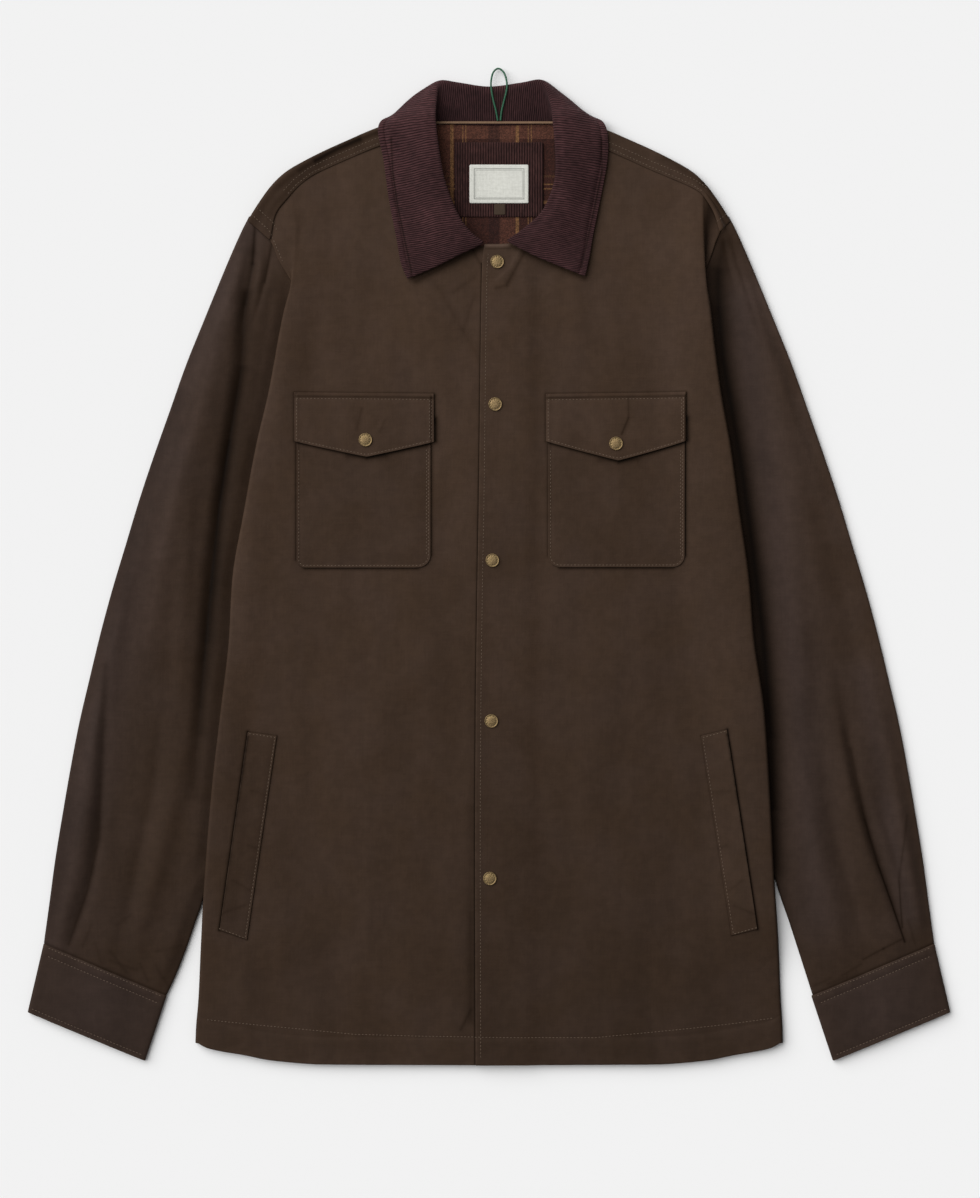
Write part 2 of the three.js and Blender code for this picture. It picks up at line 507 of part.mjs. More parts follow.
// The yoke: up the back from its seam, over the shoulder, and down to the seam on the front
const midY = curve(yokeMidY, "x", "y");
function yokePoint(column, side, t) {
  const { tx, ty, mx, bx } = column;
  const fx = side < 0 ? column.lx : column.rx;
  const fy = side < 0 ? column.ly : column.ry;
  const start = side < 0 ? 47 : 55;
  const wrapped = smooth((tx - start) / 12);
  const radius = BODY_PITCH / 2;
  const inset = (CLOTH / 2) * 0.8;
  const away = V(fx - tx, fy - ty, 0);
  const reach = Math.max(away.length(), 0.1);
  away.normalize();
  const shoulder = V(tx, ty, FLOOR).addScaledVector(away, inset);
  const bottom = V(bx, BACK_YOKE_Y, FLOOR);
  const middle = V(mx, midY(mx), FLOOR);
  // t below 0.5 goes up the back, then round the shoulder, then down the front
  let p;
  if (t < 0.5) {
    const s = t / 0.5;
    const end = shoulder.clone().addScaledVector(away, radius * wrapped + 2 * (1 - wrapped));
    p = bottom
      .clone()
      .multiplyScalar((1 - s) ** 2)
      .addScaledVector(middle.clone().multiplyScalar(2).addScaledVector(bottom, -0.5).addScaledVector(end, -0.5), 2 * s * (1 - s))
      .addScaledVector(end, s * s);
    p.z = FLOOR;
  } else {
    const s = (t - 0.5) / 0.5;
    const flat = shoulder.clone().addScaledVector(away, 2 * (1 - s));
    let round;
    if (s < 0.6) {
      const turn = (s / 0.6) * Math.PI;
      round = shoulder.clone().addScaledVector(away, radius * (1 - Math.sin(turn)));
      round.z = FLOOR + radius * (1 - Math.cos(turn));
    } else {
      const k = (s - 0.6) / 0.4;
      round = shoulder.clone().addScaledVector(away, lerp(radius, reach - inset, k));
      round.z = FRONT_Z;
    }
    p = flat.lerp(round, wrapped);
  }
  return V(side * p.x, p.y, p.z);
}
const yokeRows = [0, 0.14, 0.28, 0.4, 0.5, 0.575, 0.65, 0.725, 0.8, 0.9, 1];
const yokeSide = (side) => yokeColumns.slice(side < 0 ? 0 : 1).map((c) => yokeRows.map((t) => yokePoint(c, side, t)));
const yokeGrid = [...yokeSide(-1).reverse(), ...yokeSide(1)];
add("yoke", BROWN, wall(yokeGrid, CLOTH));

// A flattened ring of cloth between an inner and an outer point, seen along the sleeve
function flatRing(inner, outer, pitch, top, bottom, rise) {
  const wide = Math.hypot(outer.x - inner.x, outer.y - inner.y);
  const r = pitch / 2;
  const at = (d, z) => {
    const f = d / wide;
    return V(lerp(inner.x, outer.x, f), lerp(inner.y, outer.y, f), z);
  };
  const ring = [];
  const low = inner.z;
  for (let i = 0; i < bottom; i += 1) ring.push(at(lerp(r, wide - r, i / bottom), low));
  for (let i = 0; i < 3; i += 1) {
    const turn = (i / 3) * Math.PI;
    ring.push(at(wide - r + r * Math.sin(turn), low + r * (1 - Math.cos(turn))));
  }
  for (let i = 0; i < top; i += 1) {
    const d = lerp(wide - r, r, i / top);
    const p = at(d, low + pitch);
    const fade = smooth(Math.min(d, wide - d) / 12);
    p.z += rise(p) * fade;
    ring.push(p);
  }
  for (let i = 0; i < 3; i += 1) {
    const turn = Math.PI + (i / 3) * Math.PI;
    ring.push(at(r + r * Math.sin(turn), low + r * (1 - Math.cos(turn))));
  }
  return ring;
}

// Sleeves and cuffs
const looseInner = curve(sleeveInner, "y", "x");
function sleeveInnerX(side, y) {
  const near = curve(
    [
      { y: 281.6, x: 184.9 },
      { y: 268, x: 177.6 },
      { y: 250, x: side < 0 ? 166 : 172 },
      { y: 236, x: side < 0 ? 158.5 : 170 },
      { y: 222, x: edgeX(side, 222) - TUCK },
    ],
    "y",
    "x",
  );
  if (y > 222) return near(y);
  if (y > -240) return edgeX(side, y) - TUCK;
  if (y > -281) return lerp(edgeX(side, -240) - TUCK, looseInner(-281), smooth((-240 - y) / 41));
  return looseInner(y);
}
function sleeveGrid(side, top, bottom) {
  const folds = side < 0 ? foldsLeft : foldsRight;
  const rise = (p) => {
    const raised = foldsAt(folds, side * p.x, p.y);
    return Math.min(2.3, Math.max(-0.9, raised + 0.1));
  };
  return sleeveRings.map(({ ox, oy, iy }, i) => {
    const grow = side > 0 && i === 0 ? 0.8 : 0;
    const inner = V(side * (sleeveInnerX(side, iy) + grow), iy, FLOOR);
    const outer = V(side * (ox - CLOTH * 0.3), oy, FLOOR);
    const ring = flatRing(inner, outer, SLEEVE_PITCH, top, bottom, rise);
    return side < 0 ? ring.reverse() : ring;
  });
}
function cuffGrid(side) {
  const low = CUFF_WALL / 2;
  const rows = 5;
  return spread(rows, (t) => {
    const inner = V(side * lerp(CUFF.ix, CUFF.bottomIx, t), lerp(CUFF.iy, CUFF.bottomIy, t), low);
    const outer = V(side * lerp(CUFF.ox, CUFF.bottomOx, t), lerp(CUFF.oy, CUFF.bottomOy, t), low);
    const ease = 0.25 * Math.sin(t * Math.PI);
    const ring = flatRing(inner, outer, SLEEVE_PITCH, 8, 3, () => ease);
    return side < 0 ? ring.reverse() : ring;
  });
}
for (const side of [-1, 1]) {
  const worn = side < 0 ? "right" : "left";
  add("sleeve_" + worn, SLEEVE_BROWN, wall(sleeveGrid(side, 11, 3), CLOTH, true));
  add("cuff_" + worn, SLEEVE_BROWN, wall(cuffGrid(side), CUFF_WALL, true));
}

// The collar, through its stations
const collarKeys = ["n", "s", "r", "a", "b", "e"];
function collarGrid(along, across) {
  const stations = collarStations.length - 1;
  return spread(along, (u) =>
    spread(across, (v) => {
      const point = [0, 1, 2].map((k) => {
        const row = collarKeys.map((key) => through(collarStations.map((s) => s[key][k]), u * stations));
        return through(row, v * (collarKeys.length - 1));
      });
      return V(...point);
    }),
  );
}
add("collar", 0x3c2928, wall(collarGrid(38, 13), COLLAR_WALL));

// The faces of a wall that look up, as a grid of points
function upperFace(grid, thickness) {
  const rows = grid.length;
  const cols = grid[0].length;
  const at = (i, j) => grid[Math.min(rows - 1, Math.max(0, i))][Math.min(cols - 1, Math.max(0, j))];
  return grid.map((row, i) =>
    row.map((p, j) => {
      const n = at(i + 1, j).clone().sub(at(i - 1, j)).cross(at(i, j + 1).clone().sub(at(i, j - 1))).normalize();
      return p.clone().addScaledVector(n, (Math.sign(n.z || 1) * thickness) / 2);
    }),
  );
}

// The height of the panels below at a place, from their own flat faces
function heightOn(faces, x, y) {
  let z = -1;
  const try3 = (a, b, c) => {
    const det = (b.x - a.x) * (c.y - a.y) - (c.x - a.x) * (b.y - a.y);
    if (Math.abs(det) < 1e-9) return;
    const s = ((x - a.x) * (c.y - a.y) - (c.x - a.x) * (y - a.y)) / det;
    const t = ((b.x - a.x) * (y - a.y) - (x - a.x) * (b.y - a.y)) / det;
    if (s < -1e-6 || t < -1e-6 || s + t > 1 + 1e-6) return;
    z = Math.max(z, a.z + s * (b.z - a.z) + t * (c.z - a.z));
  };
  for (const face of faces) {
    for (let i = 0; i + 1 < face.length; i += 1) {
      for (let j = 0; j + 1 < face[i].length; j += 1) {
        const [a, b, c, d] = [face[i][j], face[i + 1][j], face[i + 1][j + 1], face[i][j + 1]];
        if (Math.min(a.x, b.x, c.x, d.x) > x + 0.1 || Math.max(a.x, b.x, c.x, d.x) < x - 0.1) continue;
        if (Math.min(a.y, b.y, c.y, d.y) > y + 0.1 || Math.max(a.y, b.y, c.y, d.y) < y - 0.1) continue;
        try3(a, b, c);
        try3(a, c, d);
      }
    }
  }
  return z;
}

// A patch of cloth laid on panels: its under side clears their faces everywhere
function laidOn(places, faces, thickness, clear = SEAM) {
  const under = places.map((row) => row.map(([x, y]) => V(x, y, heightOn(faces, x, y))));
  const parts = 5;
  for (let pass = 0; pass < 4; pass += 1) {
    for (let i = 0; i + 1 < under.length; i += 1) {
      for (let j = 0; j + 1 < under[i].length; j += 1) {
        const corners = [under[i][j], under[i + 1][j], under[i + 1][j + 1], under[i][j + 1]];
        let lack = 0;
        for (let s = 0; s <= parts; s += 1) {
          for (let t = 0; t <= parts; t += 1) {
            const p = corners[0].clone().lerp(corners[1], s / parts);
            p.lerp(corners[3].clone().lerp(corners[2], s / parts), t / parts);
            const need = heightOn(faces, p.x, p.y);
            lack = Math.max(lack, need - p.z);
          }
        }
        if (lack > 0.005) for (const corner of corners) corner.z += lack * 0.6;
      }
    }
  }
  const grid = under.map((row) => row.map((p) => V(p.x, p.y, p.z + clear + thickness / 2)));
  return { grid, face: upperFace(grid, thickness), solid: wall(grid, thickness) };
}

// Chest pockets with rounded lower corners
function pocketPlaces({ x0, x1, top, bottom, r0, r1 }) {
  const xs = [0, 0.08, 0.3, 0.62, 1, 2, 3, 4, 5, 6];
  const cols = [];
  for (const k of xs.slice(0, 5)) cols.push(x0 + k * r0);
  for (let i = 1; i < 5; i += 1) cols.push(lerp(x0 + r0, x1 - r1, i / 5));
  for (const k of xs.slice(0, 5).reverse()) cols.push(x1 - k * r1);
  const low = (x) => {
    if (x < x0 + r0) return bottom + r0 - Math.sqrt(Math.max(0, r0 ** 2 - (x0 + r0 - x) ** 2));
    if (x > x1 - r1) return bottom + r1 - Math.sqrt(Math.max(0, r1 ** 2 - (x - x1 + r1) ** 2));
    return bottom;
  };
  return cols.map((x) => spread(7, (t) => [x, lerp(low(x), top, t)]));
}
const frontFaces = { "-1": upperFace(frontGrids[-1].map((row) => row.slice(0, -5)), CLOTH) };
frontFaces[1] = upperFace(frontGrids[1].map((row) => row.slice(0, -5)), CLOTH);
const pockets = {
  "-1": laidOn(pocketPlaces(pocketLeft), [frontFaces[-1]], PATCH_WALL),
  1: laidOn(pocketPlaces(pocketRight), [frontFaces[1]], PATCH_WALL),
};
add("pocket_right", BROWN, pockets[-1].solid);
add("pocket_left", BROWN, pockets[1].solid);

// Flaps, lying on the pockets, with a blunt point below the middle
function flapPlaces({ x0, x1, top0, top1, side0, side1, point, tip }) {
  return spread(14, (a) => {
    const x = lerp(x0, x1, a);
    const reach = x < point ? (x - x0) / (point - x0) : (x1 - x) / (x1 - point);
    const low = lerp(x < point ? side0 : side1, tip, reach ** 0.92);
    return spread(3, (t) => [x, lerp(low, lerp(top0, top1, a), t)]);
  });
}
const flaps = {
  "-1": laidOn(flapPlaces(flapLeft), [frontFaces[-1], pockets[-1].face], PATCH_WALL, SEAM + 0.1),
  1: laidOn(flapPlaces(flapRight), [frontFaces[1], pockets[1].face], PATCH_WALL, SEAM + 0.1),
};
add("flap_right", BROWN, flaps[-1].solid);
add("flap_left", BROWN, flaps[1].solid);

// Welts of the side pockets
function weltPlaces({ outTop, inTop, inBottom, outBottom }) {
  return spread(8, (t) =>
    spread(3, (s) => [
      lerp(lerp(outTop[0], inTop[0], s), lerp(outBottom[0], inBottom[0], s), t),
      lerp(lerp(outTop[1], inTop[1], s), lerp(outBottom[1], inBottom[1], s), t),
    ]),
  );
}
add("welt_right", BROWN, laidOn(weltPlaces(weltLeft), [frontFaces[-1]], PATCH_WALL).solid);
add("welt_left", BROWN, laidOn(weltPlaces(weltRight), [frontFaces[1]], PATCH_WALL).solid);

// Snap caps: a low dome inside a raised rim, turned about its own axis
const snapProfile = [
  { r: 0, z: SNAP_H * 0.78 },
  { r: SNAP_D * 0.24, z: SNAP_H * 0.74 },
  { r: SNAP_D * 0.36, z: SNAP_H * 0.6 },
  { r: SNAP_D * 0.4, z: SNAP_H * 0.86 },
  { r: SNAP_D * 0.45, z: SNAP_H },
  { r: SNAP_D * 0.5, z: SNAP_H * 0.62 },
  { r: SNAP_D * 0.48, z: 0 },
  { r: 0, z: 0 },
];
function addSnap(name, x, y, z) {
  const turns = 14;
  const at = ({ r, z: h }, k) => {
    const turn = (2 * Math.PI * (k % turns)) / turns;
    return V(x + r * Math.cos(turn), y + r * Math.sin(turn), z + h);
  };
  const out = [];
  for (let i = 0; i + 1 < snapProfile.length; i += 1) {
    for (let k = 0; k < turns; k += 1) {
      const a = at(snapProfile[i], k);
      const b = at(snapProfile[i], k + 1);
      const c = at(snapProfile[i + 1], k + 1);
      const d = at(snapProfile[i + 1], k);
      if (snapProfile[i].r > 0) out.push([a, d, b]);
      if (snapProfile[i + 1].r > 0) out.push([b, d, c]);
    }
  }
  add(name, 0x8d7a4c, out);
}
// The highest point of the cloth under a snap
function highestOn(faces, x, y) {
  let z = heightOn(faces, x, y);
  for (let k = 0; k < 12; k += 1) {
    const turn = (2 * Math.PI * k) / 12;
    z = Math.max(z, heightOn(faces, x + (SNAP_D / 2) * Math.cos(turn), y + (SNAP_D / 2) * Math.sin(turn)));
  }
  return z + SEAM;
}
frontSnaps.forEach(({ x, y }, i) => addSnap("snap_" + (i + 1), x, y, highestOn([frontFaces[1]], x, y)));
addSnap("pocket_snap_right", -104.8, 112.1, highestOn([flaps[-1].face], -104.8, 112.1));
addSnap("pocket_snap_left", 107.8, 109, highestOn([flaps[1].face], 107.8, 109));

// Inside the neck: the lining of the yoke, the patch on it, the label and its tab, and the tape over the neck seam
function platePlaces(x0, x1, y0, y1, cols, rows, topX0 = x0, topX1 = x1) {
  return spread(cols, (a) =>
    spread(rows, (b) => {
      const k = smooth((b - 0.55) / 0.45);
      return [lerp(lerp(x0, x1, a), lerp(topX0, topX1, a), k), lerp(y0, y1, b)];
    }),
  );
}
const level = (places, z, thickness) => wall(places.map((row) => row.map(([x, y]) => V(x, y, z + thickness / 2))), thickness);
const liningZ = CLOTH + SEAM;
const patchZ = liningZ + LINING.wall + SEAM;
const labelZ = patchZ + PATCH.wall + SEAM;
const liningPlaces = platePlaces(LINING.x0, LINING.x1, LINING.y0, LINING.y1, 6, 6, LINING.topX0, LINING.topX1);
add("neck_lining", 0x4a2c20, level(liningPlaces, liningZ, LINING.wall));
add("neck_patch", 0x332120, level(platePlaces(PATCH.x0, PATCH.x1, PATCH.y0, PATCH.y1, 4, 4), patchZ, PATCH.wall));
add("label", 0xc9cac3, level(platePlaces(LABEL.x0, LABEL.x1, LABEL.y0, LABEL.y1, 3, 3), labelZ, LABEL.wall));
add("size_tab", 0x4a4234, level(platePlaces(TAB.x0, TAB.x1, TAB.y0, TAB.y1, 2, 2), labelZ, TAB.wall));
const tapePlaces = spread(12, (a) => {
  const x = lerp(TAPE.x0, TAPE.x1, a);
  return [
    [x, TAPE.y - TAPE.width / 2],
    [x, TAPE.y + TAPE.width / 2],
  ];
});
add("neck_tape", 0x8a6440, level(tapePlaces, 4.2, TAPE.wall));

// The hanging loop, a round cord along its path
const loopPoints = spread(30, (t) => {
  const k = t * (loopPath.length - 1);
  return V(...[0, 1, 2].map((c) => through(loopPath.map((p) => p[c]), k)));
});
const loopRings = loopPoints.map((p, i) => {
  const next = loopPoints[Math.min(loopPoints.length - 1, i + 1)];
  const before = loopPoints[Math.max(0, i - 1)];
  const along = next.clone().sub(before).normalize();
  const sideways = V(0, 0, 1).cross(along).normalize();
  const up = along.clone().cross(sideways).normalize();
  return Array.from({ length: 6 }, (_, k) => {
    const turn = (2 * Math.PI * k) / 6;
    const ring = p.clone().addScaledVector(sideways, (LOOP_D / 2) * Math.cos(turn));
    return ring.addScaledVector(up, (LOOP_D / 2) * Math.sin(turn));
  });
});
const loopFaces = [];
for (let i = 0; i + 1 < loopRings.length; i += 1) {
  for (let k = 0; k < 6; k += 1) {
    const m = (k + 1) % 6;
    loopFaces.push([loopRings[i][k], loopRings[i + 1][k], loopRings[i + 1][m]]);
    loopFaces.push([loopRings[i][k], loopRings[i + 1][m], loopRings[i][m]]);
  }
}
const firstRing = loopRings[0];
const lastRing = loopRings[loopRings.length - 1];
for (let k = 1; k < 5; k += 1) {
  loopFaces.push([firstRing[0], firstRing[k], firstRing[k + 1]]);
  loopFaces.push([lastRing[0], lastRing[k + 1], lastRing[k]]);
}
add("hanging_loop", 0x1f4a34, loopFaces);

export default root;
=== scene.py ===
import math

import bmesh
import bpy
from mathutils import Matrix, Vector, noise
from mathutils.bvhtree import BVHTree


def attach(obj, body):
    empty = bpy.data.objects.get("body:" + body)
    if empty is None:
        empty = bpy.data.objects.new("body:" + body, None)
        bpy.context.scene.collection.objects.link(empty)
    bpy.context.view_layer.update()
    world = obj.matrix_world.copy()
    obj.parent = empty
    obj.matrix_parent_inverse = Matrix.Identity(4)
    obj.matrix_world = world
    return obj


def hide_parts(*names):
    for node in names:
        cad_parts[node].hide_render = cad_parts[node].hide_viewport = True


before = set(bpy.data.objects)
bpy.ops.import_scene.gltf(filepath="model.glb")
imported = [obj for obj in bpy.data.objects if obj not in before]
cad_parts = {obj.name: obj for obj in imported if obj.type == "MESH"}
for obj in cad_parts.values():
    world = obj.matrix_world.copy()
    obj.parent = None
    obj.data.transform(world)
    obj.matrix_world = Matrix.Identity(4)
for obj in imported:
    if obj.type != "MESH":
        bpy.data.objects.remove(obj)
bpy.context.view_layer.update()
MM = 0.001

# Camera and hanging loop
PICTURE_MM = 1018.3
CENTRE = (0.85, -22.95)
LENS = 100.0


def set_camera():
    data = bpy.data.cameras.new("camera")
    data.lens = LENS
    data.sensor_width = 36.0
    data.clip_end = 20.0
    camera = bpy.data.objects.new("camera", data)
    height = PICTURE_MM * LENS / 36.0 + 5.0
    camera.location = (CENTRE[0] * MM, CENTRE[1] * MM, height * MM)
    bpy.context.scene.collection.objects.link(camera)
    bpy.context.scene.camera = camera


set_camera()

LOOP_D = 1.6
LOOP = [
    (7.4, 383.7, 5.2),
    (5.9, 392, 6.35),
    (3.6, 401, 7.15),
    (2.1, 409, 7.6),
    (1.7, 416, 6.9),
    (3.0, 423.2, 5),
    (5.3, 426.9, 3.6),
    (8, 428.2, 3),
    (10.8, 426.8, 3.6),
    (13.6, 422.6, 5.2),
    (15.2, 415.6, 7),
    (14.8, 408.6, 7.7),
    (12.9, 400.6, 7.15),
    (10.8, 392, 6.35),
    (9.8, 383.9, 5.2),
]


def through(values, t):
    """A smooth curve through a list of numbers, at t steps along it."""
    i = min(len(values) - 2, max(0, int(t)))
    f = t - i
    p1, p2 = values[i], values[i + 1]
    p0 = values[i - 1] if i > 0 else 2 * p1 - p2
    p3 = values[i + 2] if i + 2 < len(values) else 2 * p2 - p1
    return p1 + 0.5 * f * (
        p2 - p0 + f * (2 * p0 - 5 * p1 + 4 * p2 - p3 + f * (3 * (p1 - p2) + p3 - p0))
    )


def hanging_loop():
    steps = 56
    last = len(LOOP) - 1
    route = [
        Vector(through([p[k] for p in LOOP], last * i / steps) * MM for k in range(3))
        for i in range(steps + 1)
    ]
    line = bpy.data.curves.new("hanging_loop", "CURVE")
    line.dimensions = "3D"
    line.bevel_depth = LOOP_D / 2 * MM
    line.bevel_resolution = 4
    line.use_fill_caps = True
    spline = line.splines.new("POLY")
    spline.points.add(steps)
    for point, place in zip(spline.points, route):
        point.co = (*place, 1.0)
    drawn = bpy.data.objects.new("route", line)
    bpy.context.scene.collection.objects.link(drawn)
    seen = bpy.context.evaluated_depsgraph_get()
    tube = bpy.data.meshes.new_from_object(drawn.evaluated_get(seen))
    bpy.data.objects.remove(drawn)
    loop = bpy.data.objects.new("hanging_loop_cord", tube)
    bpy.context.scene.collection.objects.link(loop)
    length = sum((b - a).length for a, b in zip(route, route[1:]))
    tuple(route[0])
    [tuple(p) for p in route]
    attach(loop, "root")
    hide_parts("hanging_loop")
    return loop


loop = hanging_loop()

# Measurements
CLOTH = 1.5
FLOOR = CLOTH / 2
BODY_PITCH = 4.8
SLEEVE_PITCH = 3.1
SLEEVE_LIFT = 5.3
TUCK = 16
SIDE_TURN = 14
LAP_STEP = 1.8
BACK_YOKE_Y = 236
FRONT_Z = FLOOR + BODY_PITCH
RISE = {-1: 3.4, 1: 10.4}  # how far the body's edge stands over its own middle, on each side

BODY_EDGE = [
    (-419, 249.5, 249.5),
    (-389, 248.6, 249),
    (-364, 246.5, 247.5),
    (-321, 244.5, 245.7),
    (-268, 241.4, 241.8),
    (-183, 234.6, 237.4),
    (-117, 227, 232.9),
    (-58, 220.2, 224.4),
    (-10, 217.6, 220.6),
    (50, 207.4, 212.2),
    (104, 197.4, 204.8),
    (152, 186.2, 196.2),
    (200, 177.5, 190),
    (248, 168.5, 185.3),
    (290, 166, 183.6),
    (321, 173.2, 183.7),
]
HEM = [
    (0, -419.2),
    (140, -418.6),
    (186, -415),
    (207, -410.8),
    (232, -406.5),
    (241, -404),
    (247.5, -400),
]
NECKLINE = {
    -1: [(-22, 276.4), (0, 276.6), (10, 277.8), (24, 284.5), (36, 302), (48, 330), (56, 353)],
    1: [
        (-4.2, 278.8),
        (6, 278.7),
        (17, 279.2),
        (26, 280.6),
        (37, 286.5),
        (51, 301),
        (60, 324),
        (65, 350),
    ],
}
LAP_EDGE = [
    (-419, -11.5),
    (-228, -11.9),
    (-109, -11.3),
    (-24, -10.2),
    (78, -8.5),
    (193, -7.2),
    (262, -5.9),
    (278, -4.2),
]
# the flank between the body's rolled edge and the armhole seam: height, x, y of the seam, z, how open
FLANK = {
    -1: [
        (200, 163.5, 199, 6.15, 0),
        (225, 159, 222, 6.15, 0),
        (240, 161, 234, 6.4, 0.35),
        (255, 166, 244, 6.35, 0.8),
        (275, 173.5, 256, 6.25, 1),
        (293, 180.5, 268, 6.15, 1),
        (318, 184, 282.6, 6.05, 1),
    ],
    1: [
        (200, 174.8, 199, 6.15, 0),
        (225, 172.6, 222, 6.15, 0),
        (240, 175, 234, 6.4, 0.35),
        (255, 179.5, 244, 6.35, 0.8),
        (275, 185.5, 260, 6.25, 1),
        (300, 191, 275, 6.15, 1),
        (321, 194.2, 288.6, 6.05, 1),
    ],
}
# the yoke, column by column: shoulder x and y, front seam x and y left and right,
# back x half way and at its seam
YOKE = [
    (0, 380.9, 0, 379, 0, 379, 0, 0),
    (22, 381.2, 22, 379, 22, 379, 22, 22),
    (44, 382, 44, 378.5, 44, 379, 43, 42),
    (56, 383.6, 55, 374.5, 56, 377, 54, 50),
    (64, 384.6, 62, 371.9, 64, 373, 61, 56),
    (74, 384.2, 73, 368.8, 74, 368.8, 70, 63),
    (96, 377.4, 95.2, 362.1, 96, 361.1, 88, 77),
    (120, 367.1, 118, 352.5, 119, 350.9, 109, 92),
    (140, 358.1, 135, 345.1, 138, 342.3, 126, 106),
    (158, 349, 150, 337.8, 156, 334.8, 142, 118),
    (173, 340, 162, 328.7, 172, 327.8, 156, 129),
    (185, 328.6, 171, 318.8, 181.5, 321.5, 168, 138),
    (196, 313.6, 182, 304.8, 191, 306.6, 178, 145),
    (204.2, 300.6, 186, 285, 195.6, 291, 184.6, 150),
]
YOKE_MIDDLE = [(0, 335), (60, 335), (140, 318), (180, 292), (186, 285)]
# the sleeve, ring by ring: outer edge x and y, and the y of its inner edge
SLEEVE = [
    (204.6, 299.4, 281.6),
    (209.4, 290, 268),
    (217.5, 272, 248),
    (228, 247, 222),
    (241.4, 214.2, 187),
    (256.8, 176, 145),
    (270.3, 137.7, 104),
    (284, 99, 64),
    (296.6, 61.2, 25),
    (308.4, 22, -17),
    (319.6, -15.3, -56),
    (330, -54, -97),
    (339.1, -91.8, -136),
    (348, -130, -173),
    (355.3, -168.3, -211),
    (361.8, -206, -249),
    (368.1, -244.8, -288),
    (373.2, -283, -324),
    (378, -317.5, -361.5),
]
SLEEVE_INNER = {
    -1: [(-362, 275.9), (-346.8, 268.6), (-321.3, 258.4), (-295.8, 249.6), (-281, 244.2)],
    1: [(-362, 276.6), (-346.8, 271.8), (-321.3, 263.6), (-295.8, 255.4), (-281, 250.2), (-264, 244.4)],
}
CUFF = {
    "outer": (377.9, -316.2),
    "inner": (275, -360),
    "outer_end": (391.5, -374.6),
    "inner_end": (293.4, -415.4),
}
# folds: height, half width on the left of the line and on its right, and the line
SLEEVE_FOLDS = {
    -1: [
        (-4.8, 5.5, 5.5,
         [(205, 266), (208, 237), (211, 174), (221, 112), (229, 61), (236, 4), (241, -58),
          (248, -137), (251, -190)]),
        (4.6, 17, 16,
         [(220, 243), (230, 200), (241, 161), (251, 118), (262, 78), (274, 30), (285, -30), (296, -90)]),
        (-1.6, 3.2, 3.2, [(197, 294), (198.5, 270), (203, 240), (212, 205)]),
        (1.3, 4, 4, [(191, 287), (193, 262), (198, 236)]),
        (-1.3, 2.6, 2.6, [(184, 281), (187, 262), (193, 236), (199, 214)]),
        (3.2, 10, 7,
         [(312, -10), (322, -70), (332, -130), (340, -190), (346, -247), (358, -288), (364, -316)]),
        (-2.6, 5, 5,
         [(322, -50), (326, -110), (329, -170), (332, -228), (338, -262), (346, -290), (357, -316)]),
        (3.0, 9, 11, [(262, -150), (272, -210), (287, -270), (303, -330)]),
        (-1.5, 6, 6, [(278, -120), (284, -180), (298, -250), (312, -320)]),
        (1.5, 7, 7, [(252, 70), (258, 10), (262, -60), (262, -120)]),
        (1.2, 6, 5, [(346, -200), (352, -250), (362, -300)]),
        (-0.9, 5, 5, [(268, -296), (284, -300), (302, -312)]),
    ],
    1: [
        (-2.2, 7, 9, [(203, 262), (206, 200), (216, 120), (227, 40), (237, -40), (246, -130), (252, -220)]),
        (4.6, 13, 15, [(219, 246), (236, 190), (252, 120), (268, 50), (284, -20), (296, -70)]),
        (-1.5, 3, 3.4, [(204, 296), (212, 262), (221, 232), (233, 196)]),
        (-1.2, 2.6, 2.6, [(198, 291), (203, 264), (211, 234)]),
        (4.2, 12, 6, [(290, -90), (297, -140), (308, -190), (320, -235), (338, -285), (349, -314)]),
        (-3.2, 4, 6, [(303, -130), (311, -177), (325, -228), (338, -262), (352, -302)]),
        (3.2, 7, 9, [(336, -120), (346, -180), (356, -230), (366, -280), (371, -308)]),
        (-1.6, 4, 5, [(329, -190), (345, -240), (363, -296)]),
        (2.6, 9, 9, [(268, -160), (276, -220), (290, -280), (305, -336)]),
        (-1.3, 6, 6, [(284, -150), (294, -220), (312, -290), (326, -334)]),
        (1.5, 8, 7, [(256, 60), (262, -10), (268, -90), (266, -130)]),
    ],
}
FRONT_FOLDS = {
    -1: [
        (0.8, 28, 28, [(96, 60), (88, -60), (92, -190), (104, -330)]),
        (-0.9, 16, 18, [(34, 120), (30, 0), (26, -130), (20, -250), (18, -400)]),
        (0.7, 22, 24, [(150, 250), (172, 120), (188, 0), (196, -90)]),
        (-0.8, 22, 20, [(160, -160), (150, -260), (156, -380)]),
        (1.5, 3.5, 5, [(171, 313), (164.5, 293), (167, 279), (171.5, 244)]),
        (-0.7, 4, 3, [(176, 306), (171, 290), (172, 262)]),
        (-0.5, 3.5, 3.5, [(12, 258), (28, 250), (46, 234)]),
        (0.4, 8, 8, [(70, -20), (110, -60), (150, -120)]),
        (-0.35, 6, 6, [(120, 200), (100, 180), (60, 176)]),
        (0.45, 10, 10, [(60, -180), (72, -240), (66, -310)]),
    ],
    1: [
        (0.8, 28, 28, [(88, 50), (96, -80), (90, -210), (98, -340)]),
        (-0.8, 18, 18, [(44, 80), (50, -60), (46, -200), (52, -380)]),
        (0.7, 24, 22, [(158, 250), (176, 120), (190, 0), (200, -100)]),
        (-0.7, 20, 20, [(150, -150), (162, -260), (150, -390)]),
        (-0.55, 3, 4, [(14, 262), (26, 246), (34, 226)]),
        (0.9, 3.2, 3, [(27, 274), (18, 259), (7, 249), (2, 238)]),
        (-0.8, 2.4, 2.6, [(30, 270), (21, 254), (15, 243), (8, 238)]),
        (0.45, 9, 9, [(66, -30), (104, -84), (150, -130)]),
        (-0.35, 7, 7, [(118, 206), (96, 190), (58, 184)]),
        (-0.4, 9, 9, [(70, -150), (66, -230), (74, -300)]),
    ],
}

